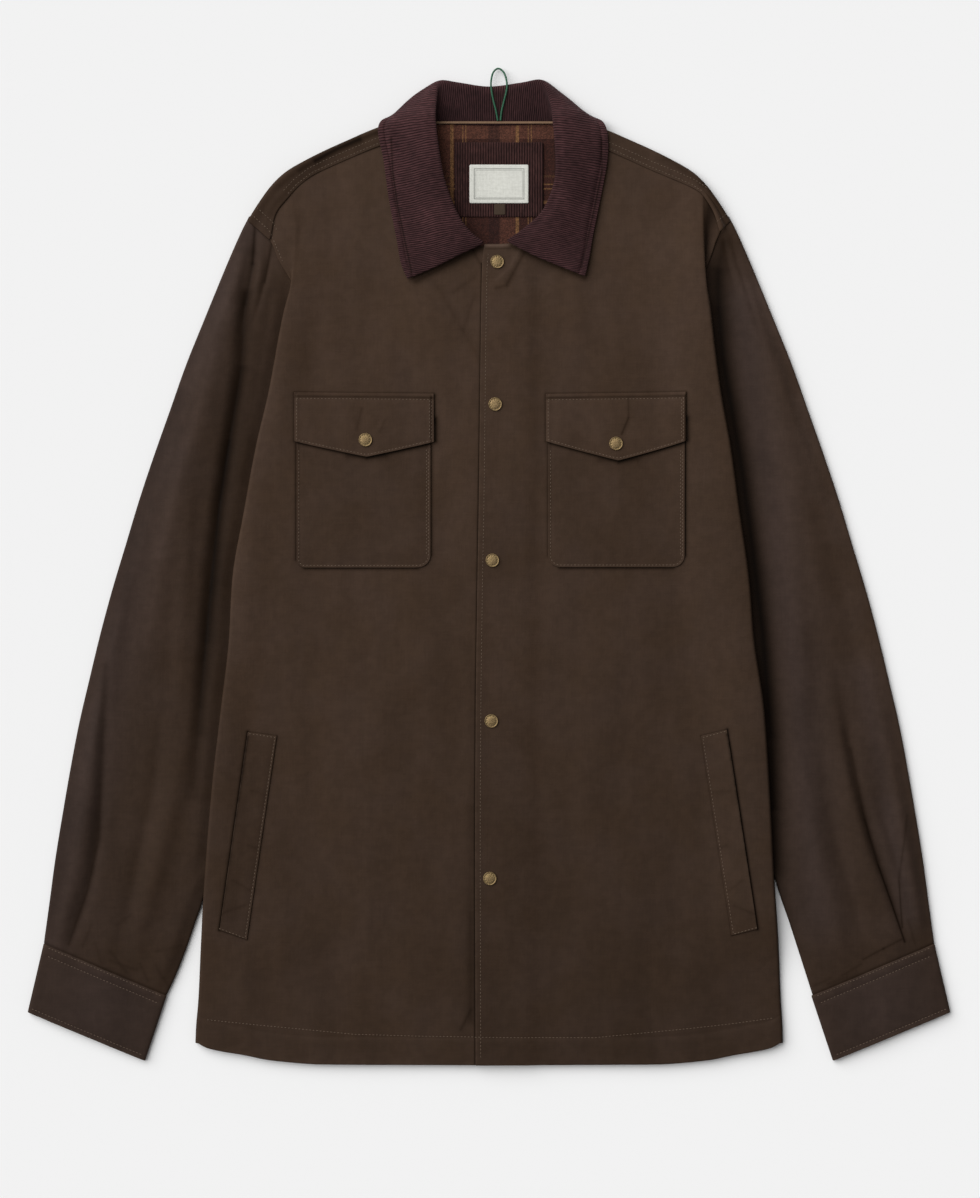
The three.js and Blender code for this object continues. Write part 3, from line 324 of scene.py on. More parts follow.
# collar, station by station from the left end round the neck to the right end:
# neck seam, half way up the stand, roll line, two places on the leaf, its outer edge
COLLAR = [
    ((-9.6, 279.4, 7.7), (-7.4, 279.8, 8.7), (-5.6, 278.2, 9.9),
     (-24.6, 269, 10.2), (-44.6, 259, 8.8), (-69.2, 248.3, 7.8)),
    ((-24.5, 285.5, 7.7), (-20.6, 287.2, 9.4), (-16.6, 287.6, 11.8),
     (-34, 280, 11.8), (-52, 271, 9.2), (-74.8, 262, 7.7)),
    ((-37, 300, 7.7), (-32, 302, 10), (-27, 302.2, 13.2),
     (-44, 296.6, 13), (-59, 290, 9.6), (-78.8, 284, 7.7)),
    ((-48.5, 326.5, 7.7), (-42.6, 328.9, 10.6), (-37.8, 329.4, 14.3),
     (-53.6, 325.4, 13.4), (-67.6, 320.8, 9.8), (-85, 316.4, 7.7)),
    ((-57, 353.5, 7.8), (-49.5, 356, 11), (-43, 357.5, 15),
     (-58.5, 354.5, 13.8), (-72.5, 351.5, 10), (-89.4, 348.5, 7.7)),
    ((-59.5, 374, 8.6), (-52.5, 379, 11.4), (-45.8, 382, 14.9),
     (-62, 380.6, 13.4), (-78, 378.6, 10.2), (-94.2, 376.9, 8.4)),
    ((-55.5, 382.6, 7.6), (-51, 388, 10), (-45.9, 392, 13),
     (-62.5, 390.8, 11.4), (-77.6, 389.6, 7.8), (-84.2, 386.6, 3.2)),
    ((-48.5, 384.8, 4.6), (-47.6, 393, 8.2), (-45.4, 401.5, 10.8),
     (-60, 399.6, 9), (-73, 396, 4.2), (-60, 391.5, 1.4)),
    ((-42, 384.2, 3.1), (-43.8, 399, 6.6), (-43.9, 411.5, 8.3),
     (-52, 409, 6.6), (-58.8, 407, 3.2), (-45, 397, 1.4)),
    ((-34, 383.2, 2.9), (-36.5, 401, 5.6), (-38.4, 415.2, 6.6),
     (-42.4, 416.9, 3.9), (-40.8, 414.6, 1.4), (-35, 393, 1.4)),
    ((-22, 382.3, 2.9), (-23, 399, 5.2), (-24.2, 412.8, 5.9),
     (-25, 415, 3.4), (-24.4, 412.8, 1.4), (-22, 390, 1.4)),
    ((0, 382, 2.9), (0, 397, 5), (0, 409.6, 5.7),
     (0, 411.8, 3.3), (0, 409.4, 1.4), (0, 387.6, 1.4)),
    ((24, 382.3, 2.9), (25, 399, 5.2), (26.2, 412.8, 5.9),
     (27, 415, 3.4), (26.4, 412.8, 1.4), (24, 390, 1.4)),
    ((38, 383.2, 2.9), (40, 401, 5.6), (41, 415.6, 6.6),
     (45, 417.5, 3.9), (43.4, 415.2, 1.4), (38, 393.6, 1.4)),
    ((48, 384.4, 3.2), (49, 399, 6.8), (48.8, 411.4, 8.5),
     (56, 408.8, 6.8), (60.8, 405.6, 3.2), (49, 397, 1.4)),
    ((56, 385.4, 4.8), (54.2, 393, 8.4), (52.4, 401, 11),
     (65.4, 399, 9.2), (76.4, 393.8, 4.2), (64, 392, 1.4)),
    ((62.5, 383, 7.7), (58.5, 387.6, 10.2), (54, 391.4, 13.2),
     (69.5, 390.6, 11.6), (82.4, 388.4, 7.9), (88.8, 386, 3.2)),
    ((66.5, 374, 8.6), (60.5, 378.6, 11.6), (54.8, 381.6, 15.1),
     (71, 380.4, 13.6), (85, 378.8, 10.2), (99.2, 377.6, 8.4)),
    ((67.5, 352.5, 7.8), (62, 355.4, 11.2), (57, 357, 15.2),
     (72, 356, 13.8), (86.5, 354.6, 10), (101, 353.4, 7.7)),
    ((62.8, 325, 7.8), (60, 329.5, 11), (56.6, 331.6, 14.6),
     (71, 329, 13.2), (83.5, 325.6, 9.8), (95.8, 322.6, 7.7)),
    ((53.4, 301, 8), (50.6, 304.6, 10.8), (46.4, 305.6, 13.8),
     (62, 301.4, 12.8), (75.5, 295.6, 9.6), (89.2, 289.8, 7.7)),
    ((38.5, 285.5, 8.8), (35, 288.6, 10.6), (30.6, 290.6, 12.9),
     (48, 283.6, 12.4), (66.5, 275.4, 9.4), (85.4, 267.2, 7.7)),
    ((22, 279.4, 9.5), (18.8, 280.6, 10.5), (16.4, 279.4, 11.7),
     (36.8, 268.6, 11.6), (59, 259.4, 9.2), (81.6, 250.6, 7.8)),
]

# chest pockets: left edge, right edge, top, bottom, the two corner radii
POCKET = {-1: (-163.4, -49.5, 150.5, 3.6, 7, 11), 1: (50.4, 166.2, 150.5, 4, 10, 10)}
# flaps: left edge, right edge, top at each end, bottom at each end, the point's x and y
FLAP = {
    -1: (-165.2, -46.8, 152.7, 151.6, 111, 110.4, -103.8, 97.6),
    1: (48.4, 166.8, 151.4, 152.8, 111, 111, 110, 94.4),
}
# side pocket welts: outer top, inner top, inner bottom, outer bottom
WELT = {
    -1: ((-204.8, -135.8), (-180.2, -139.2), (-205.6, -312.4), (-228.8, -304)),
    1: ((201.8, -133.6), (180, -139.2), (205.8, -308.6), (227.4, -302.6)),
}
FRONT_SNAPS = [(7.0, 263.4), (5.3, 142.5), (2.9, 9.9), (2, -126.5), (0.7, -260.2)]
POCKET_SNAPS = {-1: (-104.8, 112.1), 1: (107.8, 109)}
SNAP_D = 11.6


SIDES = ((-1, "right"), (1, "left"))


# Shape helpers
def clamp01(t):
    return min(1.0, max(0.0, t))


def smooth(t):
    t = clamp01(t)
    return t * t * (3 - 2 * t)


def lerp(a, b, t):
    return a + (b - a) * t


def curve(pairs):
    """A smooth function through pairs of numbers, which never swings past them."""
    pairs = sorted(pairs)
    xs = [p[0] for p in pairs]
    ys = [p[1] for p in pairs]
    d = [(ys[i + 1] - ys[i]) / (xs[i + 1] - xs[i]) for i in range(len(xs) - 1)]
    m = [d[0]]
    for a, b in zip(d, d[1:]):
        m.append(0 if a * b <= 0 else 2 * a * b / (a + b))
    m.append(d[-1])

    def at(x):
        if x <= xs[0]:
            return ys[0]
        if x >= xs[-1]:
            return ys[-1]
        i = 0
        while x > xs[i + 1]:
            i += 1
        h = xs[i + 1] - xs[i]
        t = (x - xs[i]) / h
        return (
            (1 + 2 * t) * (1 - t) ** 2 * ys[i]
            + t * (1 - t) ** 2 * h * m[i]
            + t * t * (3 - 2 * t) * ys[i + 1]
            + t * t * (t - 1) * h * m[i + 1]
        )

    return at


def fold_height(folds, x, y):
    """How far the fold lines raise the cloth at a place."""
    total = 0.0
    for height, left, right, line in folds:
        reach = 3 * max(left, right)
        best = reach
        place = 0.0
        turned = 0.0
        for i in range(len(line) - 1):
            ax, ay = line[i]
            bx, by = line[i + 1]
            if y < min(ay, by) - reach or y > max(ay, by) + reach:
                continue
            dx, dy = bx - ax, by - ay
            t = clamp01(((x - ax) * dx + (y - ay) * dy) / (dx * dx + dy * dy))
            ex, ey = x - ax - t * dx, y - ay - t * dy
            d = math.hypot(ex, ey)
            if d < best:
                best = d
                place = (i + t) / (len(line) - 1)
                turned = ex
        if best < reach:
            width = left if turned < 0 else right
            fade = math.sin(math.pi * clamp01(0.06 + 0.88 * place)) ** 0.7
            total += height * math.exp(-((best / width) ** 2)) * fade
    return total


def waviness(x, y, size, height, seed):
    return height * noise.noise(Vector((x / size, y / size, seed)))


def spaced(count):
    return [i / count for i in range(count + 1)]


def link(mesh, name):
    piece = bpy.data.objects.new(name, mesh)
    bpy.context.scene.collection.objects.link(piece)
    return piece


def smooth_faces(bm):
    for face in bm.faces:
        face.smooth = True


def finished(bm, name):
    """A piece of its own from the faces that were drawn."""
    mesh = bpy.data.meshes.new(name)
    bm.to_mesh(mesh)
    bm.free()
    return link(mesh, name)


def cloth(name, across, up, place, wall, ring=False, worn=None, painted_shade=None, uv=None):
    """A cloth piece: a grid laid out by place(u, v), given its wall and rounded."""
    bm = bmesh.new()
    cols, rows = len(across) - 1, len(up) - 1
    bmesh.ops.create_grid(bm, x_segments=cols, y_segments=rows, size=0.5)
    uv_layer = bm.loops.layers.uv.new("cloth")
    worn_layer = bm.verts.layers.float.new("worn")
    # this layer holds painted shade: how far each place is darkened toward black
    painted_shade_layer = bm.verts.layers.float.new("painted_shade")
    spot = {}
    for vert in bm.verts:
        u = across[round((vert.co.x + 0.5) * cols)]
        v = up[round((vert.co.y + 0.5) * rows)]
        spot[vert] = (u, v)
        x, y, z = place(u, v)
        vert.co = (x * MM, y * MM, z * MM)
        vert[worn_layer] = worn(u, v) if worn else 0.0
        vert[painted_shade_layer] = painted_shade(u, v, x, y) if painted_shade else 0.0
    for face in bm.faces:
        for corner in face.loops:
            u, v = spot[corner.vert]
            corner[uv_layer].uv = uv(u, v) if uv else (u, v)
    if ring:
        bmesh.ops.remove_doubles(bm, verts=bm.verts, dist=1e-6)
    bmesh.ops.recalc_face_normals(bm, faces=bm.faces)
    smooth_faces(bm)
    piece = finished(bm, name)
    thick = piece.modifiers.new("wall", "SOLIDIFY")
    thick.thickness = wall * MM
    thick.offset = 0.0
    round_off = piece.modifiers.new("round", "SUBSURF")
    round_off.levels = 1
    round_off.render_levels = 1
    return piece


def dress(piece, node, material):
    """Ride the body, stand for the solid and take its finish."""
    piece.data.materials.append(material)
    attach(piece, "root")
    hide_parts(node)


def surface(*pieces):
    """The finished upper faces of some pieces, to lay other pieces on."""
    seen = bpy.context.evaluated_depsgraph_get()
    trees = [BVHTree.FromObject(p, seen) for p in pieces]

    def at(x, y):
        best = None
        for tree in trees:
            hit, normal, _, _ = tree.ray_cast(Vector((x * MM, y * MM, 0.08)), Vector((0, 0, -1)))
            if hit is not None and (best is None or hit.z > best[0].z):
                best = (hit, normal if normal.z > 0 else -normal)
        return best

    return at


# Finishes
class Wiring:
    """Short words for laying out the nodes of a finish."""

    def __init__(self, tree):
        self.tree = tree

    def add(self, kind, **settings):
        node = self.tree.nodes.new(kind)
        for key, value in settings.items():
            setattr(node, key, value)
        return node

    def put(self, value, socket):
        if isinstance(value, bpy.types.NodeSocket):
            self.tree.links.new(value, socket)
        else:
            socket.default_value = value

    def math(self, operation, *values):
        node = self.add("ShaderNodeMath", operation=operation)
        for value, socket in zip(values, node.inputs):
            self.put(value, socket)
        return node.outputs[0]

    def blend(self, factor, a, b, kind="MIX"):
        node = self.add("ShaderNodeMix", data_type="RGBA", blend_type=kind)
        self.put(factor, node.inputs[0])
        self.put(a, node.inputs[6])
        self.put(b, node.inputs[7])
        return node.outputs[2]

    def span(self, value, low, high, to_low=0.0, to_high=1.0, soft=True):
        node = self.add("ShaderNodeMapRange")
        if soft:
            node.interpolation_type = "SMOOTHSTEP"
        for v, socket in zip((value, low, high, to_low, to_high), node.inputs):
            self.put(v, socket)
        return node.outputs[0]

    def noise(self, vector, scale, detail=2.0, roughness=0.5):
        node = self.add("ShaderNodeTexNoise")
        self.put(vector, node.inputs["Vector"])
        self.put(scale, node.inputs["Scale"])
        node.inputs["Detail"].default_value = detail
        node.inputs["Roughness"].default_value = roughness
        return node.outputs["Fac"]

    def vector(self, operation, a, b):
        node = self.add("ShaderNodeVectorMath", operation=operation)
        self.put(a, node.inputs[0])
        self.put(b, node.inputs[1])
        return node.outputs[0]

    def stretched(self, vector, scale):
        return self.vector("MULTIPLY", vector, scale)

    def dot(self, a, b):
        node = self.add("ShaderNodeVectorMath", operation="DOT_PRODUCT")
        self.put(a, node.inputs[0])
        self.put(b, node.inputs[1])
        return node.outputs["Value"]

    def grey(self, value):
        """A grey colour with this brightness."""
        node = self.add("ShaderNodeCombineColor")
        for socket in node.inputs[:3]:
            self.put(value, socket)
        return node.outputs[0]

    def warm(self, value):
        """A grey that turns brown as it falls below one."""
        node = self.add("ShaderNodeCombineColor")
        for power, socket in zip((0.96, 1.04, 1.18), node.inputs[:3]):
            self.put(self.math("POWER", value, power), socket)
        return node.outputs[0]

    def split(self, vector):
        node = self.add("ShaderNodeSeparateXYZ")
        self.put(vector, node.inputs[0])
        return node.outputs

    def use(self, group, **values):
        node = self.add("ShaderNodeGroup", node_tree=group)
        for key, value in values.items():
            self.put(value, node.inputs[key.replace("_", " ")])
        return node.outputs


def new_group(name, takes, gives):
    tree = bpy.data.node_groups.new(name, "ShaderNodeTree")
    for label, kind in takes:
        tree.interface.new_socket(name=label, in_out="INPUT", socket_type=kind)
    for label, kind in gives:
        tree.interface.new_socket(name=label, in_out="OUTPUT", socket_type=kind)
    wires = Wiring(tree)
    start = wires.add("NodeGroupInput")
    end = wires.add("NodeGroupOutput")
    return tree, wires, start.outputs, end.inputs


FLOAT, VECTOR = "NodeSocketFloat", "NodeSocketVector"
IN_MM = (1000.0, 1000.0, 1000.0)


def weave_group():
    """Plain weave: threads over and under, with slubs."""
    tree, w, takes, gives = new_group(
        "plain_weave",
        [("Place", VECTOR), ("Threads", FLOAT)],
        [("Height", FLOAT), ("Slub", FLOAT)],
    )
    x, y, _ = w.split(takes["Place"])
    turn = w.math("MULTIPLY", takes["Threads"], 2 * math.pi)
    warp = w.math("SINE", w.math("MULTIPLY", x, turn))
    weft = w.math("SINE", w.math("MULTIPLY", y, turn))
    over = w.math("MULTIPLY", warp, weft)
    w.put(w.math("MULTIPLY_ADD", over, 0.5, 0.5), gives["Height"])
    along = w.noise(w.stretched(takes["Place"], (900.0, 60.0, 200.0)), 1.0, 2.0)
    cross = w.noise(w.stretched(takes["Place"], (60.0, 900.0, 200.0)), 1.0, 2.0)
    w.put(w.math("MULTIPLY_ADD", w.math("ADD", along, cross), 0.5, 0.0), gives["Slub"])
    return tree


def clouds_group():
    """Soft uneven patches, as wax leaves them."""
    tree, w, takes, gives = new_group(
        "wax_clouds",
        [("Place", VECTOR), ("Size", FLOAT)],
        [("Broad", FLOAT), ("Fine", FLOAT)],
    )
    scale = w.math("DIVIDE", 1.0, takes["Size"])
    broad = w.noise(takes["Place"], scale, 3.0, 0.55)
    fine = w.noise(takes["Place"], w.math("MULTIPLY", scale, 5.3), 3.0, 0.6)
    w.put(w.span(broad, 0.32, 0.68), gives["Broad"])
    w.put(w.span(fine, 0.3, 0.7), gives["Fine"])
    return tree


def wales_group():
    """Corduroy: rounded cords of pile with a narrow valley between them."""
    tree, w, takes, gives = new_group(
        "corduroy_wales",
        [("Across", FLOAT), ("Along", FLOAT), ("Pitch", FLOAT), ("Drift", FLOAT)],
        [("Height", FLOAT), ("Pile", FLOAT)],
    )
    rough = w.add("ShaderNodeCombineXYZ")
    w.put(w.math("MULTIPLY", takes["Across"], 0.06), rough.inputs[0])
    w.put(w.math("MULTIPLY", takes["Along"], 0.035), rough.inputs[1])
    drift = w.math("MULTIPLY_ADD", w.noise(rough.outputs[0], 1.0, 2.0), takes["Drift"], takes["Across"])
    phase = w.math("DIVIDE", drift, takes["Pitch"])
    cords = w.math("ABSOLUTE", w.math("SINE", w.math("MULTIPLY", phase, math.pi)))
    w.put(w.math("POWER", cords, 0.62), gives["Height"])
    joined = w.add("ShaderNodeCombineXYZ")
    w.put(w.math("MULTIPLY", takes["Across"], 0.9), joined.inputs[0])
    w.put(w.math("MULTIPLY", takes["Along"], 0.16), joined.inputs[1])
    w.put(w.noise(joined.outputs[0], 1.0, 3.0, 0.6), gives["Pile"])
    return tree


def stripe_group():
    """A stripe that comes back at every repeat of the cloth."""
    tree, w, takes, gives = new_group(
        "plaid_stripe",
        [("Across", FLOAT), ("Centre", FLOAT), ("Half", FLOAT), ("Repeat", FLOAT)],
        [("Stripe", FLOAT)],
    )
    moved = w.math("DIVIDE", w.math("SUBTRACT", takes["Across"], takes["Centre"]), takes["Repeat"])
    place = w.math("SUBTRACT", w.math("FRACT", w.math("ADD", moved, 0.5)), 0.5)
    away = w.math("MULTIPLY", w.math("ABSOLUTE", place), takes["Repeat"])
    soft = w.math("SUBTRACT", away, takes["Half"])
    w.put(w.span(soft, -0.25, 0.35, 1.0, 0.0), gives["Stripe"])
    return tree


def crease_group():
    """How near a place is to a straight line between two points."""
    tree, w, takes, gives = new_group(
        "crease",
        [("Place", VECTOR), ("From", VECTOR), ("Way", VECTOR), ("Reach", FLOAT)],
        [("Near", FLOAT)],
    )
    away = w.vector("SUBTRACT", takes["Place"], takes["From"])
    along = w.math("DIVIDE", w.dot(away, takes["Way"]), w.dot(takes["Way"], takes["Way"]))
    held = w.add("ShaderNodeClamp")
    w.put(along, held.inputs[0])
    foot = w.add("ShaderNodeVectorMath", operation="SCALE")
    w.put(takes["Way"], foot.inputs[0])
    w.put(held.outputs[0], foot.inputs[3])
    gap = w.add("ShaderNodeVectorMath", operation="LENGTH")
    w.put(w.vector("SUBTRACT", away, foot.outputs[0]), gap.inputs[0])
    fall = w.math("POWER", w.math("DIVIDE", gap.outputs["Value"], takes["Reach"]), 1.5)
    w.put(w.math("EXPONENT", w.math("MULTIPLY", fall, -1.0)), gives["Near"])
    return tree


WEAVE = weave_group()
CLOUDS = clouds_group()
WALES = wales_group()
STRIPE = stripe_group()
CREASE = crease_group()


def new_finish(name):
    material = bpy.data.materials.new(name)
    material.use_nodes = True
    w = Wiring(material.node_tree)
    shader = material.node_tree.nodes["Principled BSDF"]
    place = w.add("ShaderNodeTexCoord").outputs["Object"]
    return material, w, shader, place


def bump(w, shader, height, distance, strength):
    node = w.add("ShaderNodeBump")
    node.inputs["Distance"].default_value = distance
    node.inputs["Strength"].default_value = strength
    w.put(height, node.inputs["Height"])
    w.put(node.outputs[0], shader.inputs["Normal"])


def shaded(w, tone, place, creases):
    """Painted shade along creases, beside raised edges and under flaps, and painted highlight where the
    strength is below zero.

    A crease is a line x, y to x, y with its reach and strength. In a list of them the strongest counts.
    """
    flat = w.stretched(place, (1000.0, 1000.0, 0.0))
    keep = None
    for run in creases:
        deepest = None
        for x0, y0, x1, y1, reach, strength in run if isinstance(run, list) else [run]:
            start = (float(x0), float(y0), 0.0)
            way = (float(x1 - x0), float(y1 - y0), 0.0)
            near = w.use(CREASE, Place=flat, From=start, Way=way, Reach=float(reach))[0]
            near = w.math("MULTIPLY", near, float(strength))
            most = "MAXIMUM" if strength > 0 else "MINIMUM"
            deepest = near if deepest is None else w.math(most, deepest, near)
        left = w.math("SUBTRACT", 1.0, deepest)
        keep = left if keep is None else w.math("MULTIPLY", keep, left)
    if keep is None:
        return tone
    return w.blend(1.0, tone, w.warm(keep), "MULTIPLY")


def waxed_cotton(name, creases=(), low=0.88, high=1.14, cool=()):
    """Waxed cotton with painted light that falls from high at the top to low at the hem, painted shade and
    highlight along its crease lines, and paler where it rubs.
    """
    material, w, shader, place = new_finish(name)
    broad, fine = w.use(CLOUDS, Place=place, Size=0.045)
    height, slub = w.use(WEAVE, Place=place, Threads=1300.0)
    tone = w.blend(broad, (0.0412, 0.0243, 0.0152, 1), (0.0392, 0.0239, 0.0163, 1))
    if cool:
        inner = shaded(w, (1, 1, 1, 1), place, cool)
        tone = w.blend(inner, (0.043, 0.028, 0.0228, 1), tone)
    # painted light: the cloth is drawn brighter toward the top and darker toward the hem, scaled from low at
    # the hem to high at the top
    _, y, _ = w.split(place)
    fade = w.span(y, -0.42, 0.34, low, high, False)
    streak = w.noise(w.stretched(place, (34.0, 7.0, 20.0)), 1.0, 3.0)
    blotch = w.math("MULTIPLY", w.span(broad, 0.0, 1.0, 0.94, 1.06), w.span(streak, 0.3, 0.7, 0.93, 1.07))
    lift = w.math("MULTIPLY", w.span(fine, 0.0, 1.0, 0.95, 1.05), blotch)
    thread = w.span(slub, 0.3, 0.7, 0.95, 1.05)
    level = w.math("MULTIPLY", w.math("MULTIPLY", lift, thread), fade)
    tone = w.blend(1.0, tone, w.grey(level), "MULTIPLY")
    # painted shade along the crease lines, and painted highlight where their strength is below zero
    tone = shaded(w, tone, place, creases)
    near = w.add("ShaderNodeAttribute", attribute_name="worn").outputs["Fac"]
    rubbed = w.math("MULTIPLY", near, w.span(fine, 0.2, 0.9, 0.35, 0.8))
    tone = w.blend(rubbed, tone, (0.078, 0.05, 0.034, 1))
    # painted shade: the cloth is darkened toward near black where its painted shade layer asks
    painted_shade_amount = w.add("ShaderNodeAttribute", attribute_name="painted_shade").outputs["Fac"]
    w.put(w.blend(painted_shade_amount, tone, (0.002, 0.001, 0.0008, 1)), shader.inputs["Base Color"])
    w.put(w.span(broad, 0.0, 1.0, 0.61, 0.71), shader.inputs["Roughness"])
    shader.inputs["Specular IOR Level"].default_value = 0.045
    relief = w.math("MULTIPLY_ADD", height, 0.25, w.math("MULTIPLY", slub, 0.9))
    bump(w, shader, w.math("MULTIPLY_ADD", fine, 0.7, relief), 0.00018, 0.7)
    return material


def corduroy(name, groove, crest, upright=False, creases=()):
    """Corduroy laid along a piece's own map, or with upright wales."""
    material, w, shader, place = new_finish(name)
    if upright:
        x, y, _ = w.split(w.stretched(place, IN_MM))
    else:
        x, y, _ = w.split(w.add("ShaderNodeUVMap", uv_map="cloth").outputs[0])
    height, pile = w.use(WALES, Across=x, Along=y, Pitch=2.2, Drift=0.4 if upright else 2.8)
    broad, _ = w.use(CLOUDS, Place=place, Size=0.03)
    # the grooves between the wales are drawn dark and their crests light: the pile's own colour with painted
    # shade in the grooves
    tone = w.blend(height, groove, crest)
    tone = w.blend(1.0, tone, w.grey(w.span(pile, 0.3, 0.7, 0.62, 1.38)), "MULTIPLY")
    tone = w.blend(1.0, tone, w.grey(w.span(broad, 0.0, 1.0, 0.84, 1.14)), "MULTIPLY")
    tone = shaded(w, tone, place, creases)
    # painted shade: darkened toward near black where the piece's painted shade layer asks
    painted_shade_amount = w.add("ShaderNodeAttribute", attribute_name="painted_shade").outputs["Fac"]
    w.put(w.blend(painted_shade_amount, tone, (0.004, 0.0012, 0.0012, 1)), shader.inputs["Base Color"])
    w.put(w.span(pile, 0.2, 0.8, 0.72, 0.92), shader.inputs["Roughness"])
    shader.inputs["Specular IOR Level"].default_value = 0.1
    shader.inputs["Sheen Weight"].default_value = 0.1
    shader.inputs["Sheen Roughness"].default_value = 0.5
    shader.inputs["Sheen Tint"].default_value = (0.6, 0.36, 0.38, 1)
    bump(w, shader, w.math("MULTIPLY_ADD", pile, 0.3, height), 0.0009, 1.0)
    return material


def plaid(name):
    """Brushed cotton lining: rust and dark bands with ochre lines."""
    material, w, shader, place = new_finish(name)
    x, y, _ = w.split(w.stretched(place, IN_MM))

    def stripe(value, centre, half):
        repeat = 55.7 if value is x else 111.4
        return w.use(STRIPE, Across=value, Centre=centre, Half=half, Repeat=repeat)[0]

    dark = (0.041, 0.0135, 0.0092, 1)
    rust = (0.1, 0.038, 0.0235, 1)
    ochre = (0.2, 0.098, 0.04, 1)
    tone = w.blend(w.math("MULTIPLY", stripe(x, -40.0, 7.0), 0.5), dark, rust)
    tone = w.blend(w.math("MULTIPLY", stripe(y, 376.0, 7.4), 0.75), tone, rust)
    tone = w.blend(w.math("MULTIPLY", stripe(x, 4.4, 4.8), 0.5), tone, (0.022, 0.008, 0.007, 1))
    lines = [
        (x, -31.6, 1.35, 0.8),
        (x, -22.3, 0.35, 0.75),
        (x, -19.7, 0.35, 0.75),
        (y, 314.5, 1.3, 0.7),
        (y, 329.8, 0.45, 0.75),
        (y, 326.0, 0.45, 0.75),
        (y, 336.6, 0.9, 0.2),
    ]
    for value, centre, half, strength in lines:
        tone = w.blend(w.math("MULTIPLY", stripe(value, centre, half), strength), tone, ochre)
    height, slub = w.use(WEAVE, Place=place, Threads=1100.0)
    _, fine = w.use(CLOUDS, Place=place, Size=0.006)
    tone = w.blend(1.0, tone, w.grey(w.span(fine, 0.0, 1.0, 0.62, 1.3)), "MULTIPLY")
    tone = w.blend(1.0, tone, w.grey(w.span(slub, 0.3, 0.7, 0.85, 1.15)), "MULTIPLY")
    w.put(tone, shader.inputs["Base Color"])
    w.put(w.span(fine, 0.0, 1.0, 0.85, 0.97), shader.inputs["Roughness"])
    shader.inputs["Specular IOR Level"].default_value = 0.1
    shader.inputs["Sheen Weight"].default_value = 0.15
    bump(w, shader, w.math("ADD", height, w.math("MULTIPLY", fine, 1.5)), 0.00025, 0.8)
    return material


def plain_cloth(name, colour, threads):
    material, w, shader, place = new_finish(name)
    height, slub = w.use(WEAVE, Place=place, Threads=threads)
    broad, fine = w.use(CLOUDS, Place=place, Size=0.012)
    threaded = w.span(slub, 0.3, 0.7, 0.88, 1.12)
    level = w.math("MULTIPLY", threaded, w.span(fine, 0.0, 1.0, 0.94, 1.06))
    w.put(w.blend(1.0, colour, w.grey(level), "MULTIPLY"), shader.inputs["Base Color"])
    w.put(w.span(broad, 0.0, 1.0, 0.76, 0.84), shader.inputs["Roughness"])
    shader.inputs["Specular IOR Level"].default_value = 0.2
    bump(w, shader, w.math("ADD", height, slub), 0.0002, 0.7)
    return material


def label_cloth(name):
    """Off-white woven label with a plain double border and nothing inside it."""
    material, w, shader, place = new_finish(name)
    x, y, _ = w.split(w.stretched(place, IN_MM))
    across = w.math("SUBTRACT", w.math("ABSOLUTE", w.math("SUBTRACT", x, 8.6)), 21.1)
    up = w.math("SUBTRACT", w.math("ABSOLUTE", w.math("SUBTRACT", y, 329.9)), 12.8)
    out = w.math("MAXIMUM", across, up)
    wide = w.span(w.math("ABSOLUTE", out), 0.18, 0.5, 1.0, 0.0)
    thin = w.span(w.math("ABSOLUTE", w.math("ADD", out, 1.25)), 0.08, 0.32, 1.0, 0.0)
    height, slub = w.use(WEAVE, Place=place, Threads=1500.0)
    _, fine = w.use(CLOUDS, Place=place, Size=0.01)
    tone = w.blend(fine, (0.66, 0.66, 0.6, 1), (0.73, 0.73, 0.67, 1))
    ink = w.math("MAXIMUM", w.math("MULTIPLY", wide, 0.75), w.math("MULTIPLY", thin, 0.55))
    tone = w.blend(ink, tone, (0.12, 0.125, 0.11, 1))
    tone = w.blend(1.0, tone, w.grey(w.span(slub, 0.3, 0.7, 0.93, 1.05)), "MULTIPLY")
    w.put(tone, shader.inputs["Base Color"])
    w.put(w.span(fine, 0.0, 1.0, 0.62, 0.74), shader.inputs["Roughness"])
    shader.inputs["Specular IOR Level"].default_value = 0.25
    bump(w, shader, w.math("ADD", height, slub), 0.00015, 0.7)
    return material


def antique_brass(name):
    material, w, shader, place = new_finish(name)
    broad, fine = w.use(CLOUDS, Place=place, Size=0.0035)
    near = w.add("ShaderNodeAttribute", attribute_name="worn").outputs["Fac"]
    tone = w.blend(fine, (0.175, 0.12, 0.052, 1), (0.27, 0.193, 0.096, 1))
    tone = w.blend(w.math("MULTIPLY", broad, 0.3), tone, (0.19, 0.12, 0.066, 1))
    tone = w.blend(near, tone, (0.045, 0.03, 0.012, 1))
    w.put(tone, shader.inputs["Base Color"])
    w.put(w.span(fine, 0.0, 1.0, 0.38, 0.56), shader.inputs["Roughness"])
    shader.inputs["Metallic"].default_value = 0.9
    bump(w, shader, w.math("ADD", fine, broad), 0.0001, 0.5)
    return material


def thread(name, colour):
    material, w, shader, place = new_finish(name)
    x, y, _ = w.split(place)
    # the thread is drawn in light and dark bands along its twist: painted shade between the plies
    turn = w.math("SINE", w.math("MULTIPLY", w.math("ADD", x, y), 9000.0))
    level = w.span(turn, -1.0, 1.0, 0.8, 1.2)
    w.put(w.blend(1.0, colour, w.grey(level), "MULTIPLY"), shader.inputs["Base Color"])
    w.put(w.span(turn, -1.0, 1.0, 0.5, 0.62), shader.inputs["Roughness"])
    shader.inputs["Specular IOR Level"].default_value = 0.3
    bump(w, shader, turn, 0.0001, 0.5)
    return material


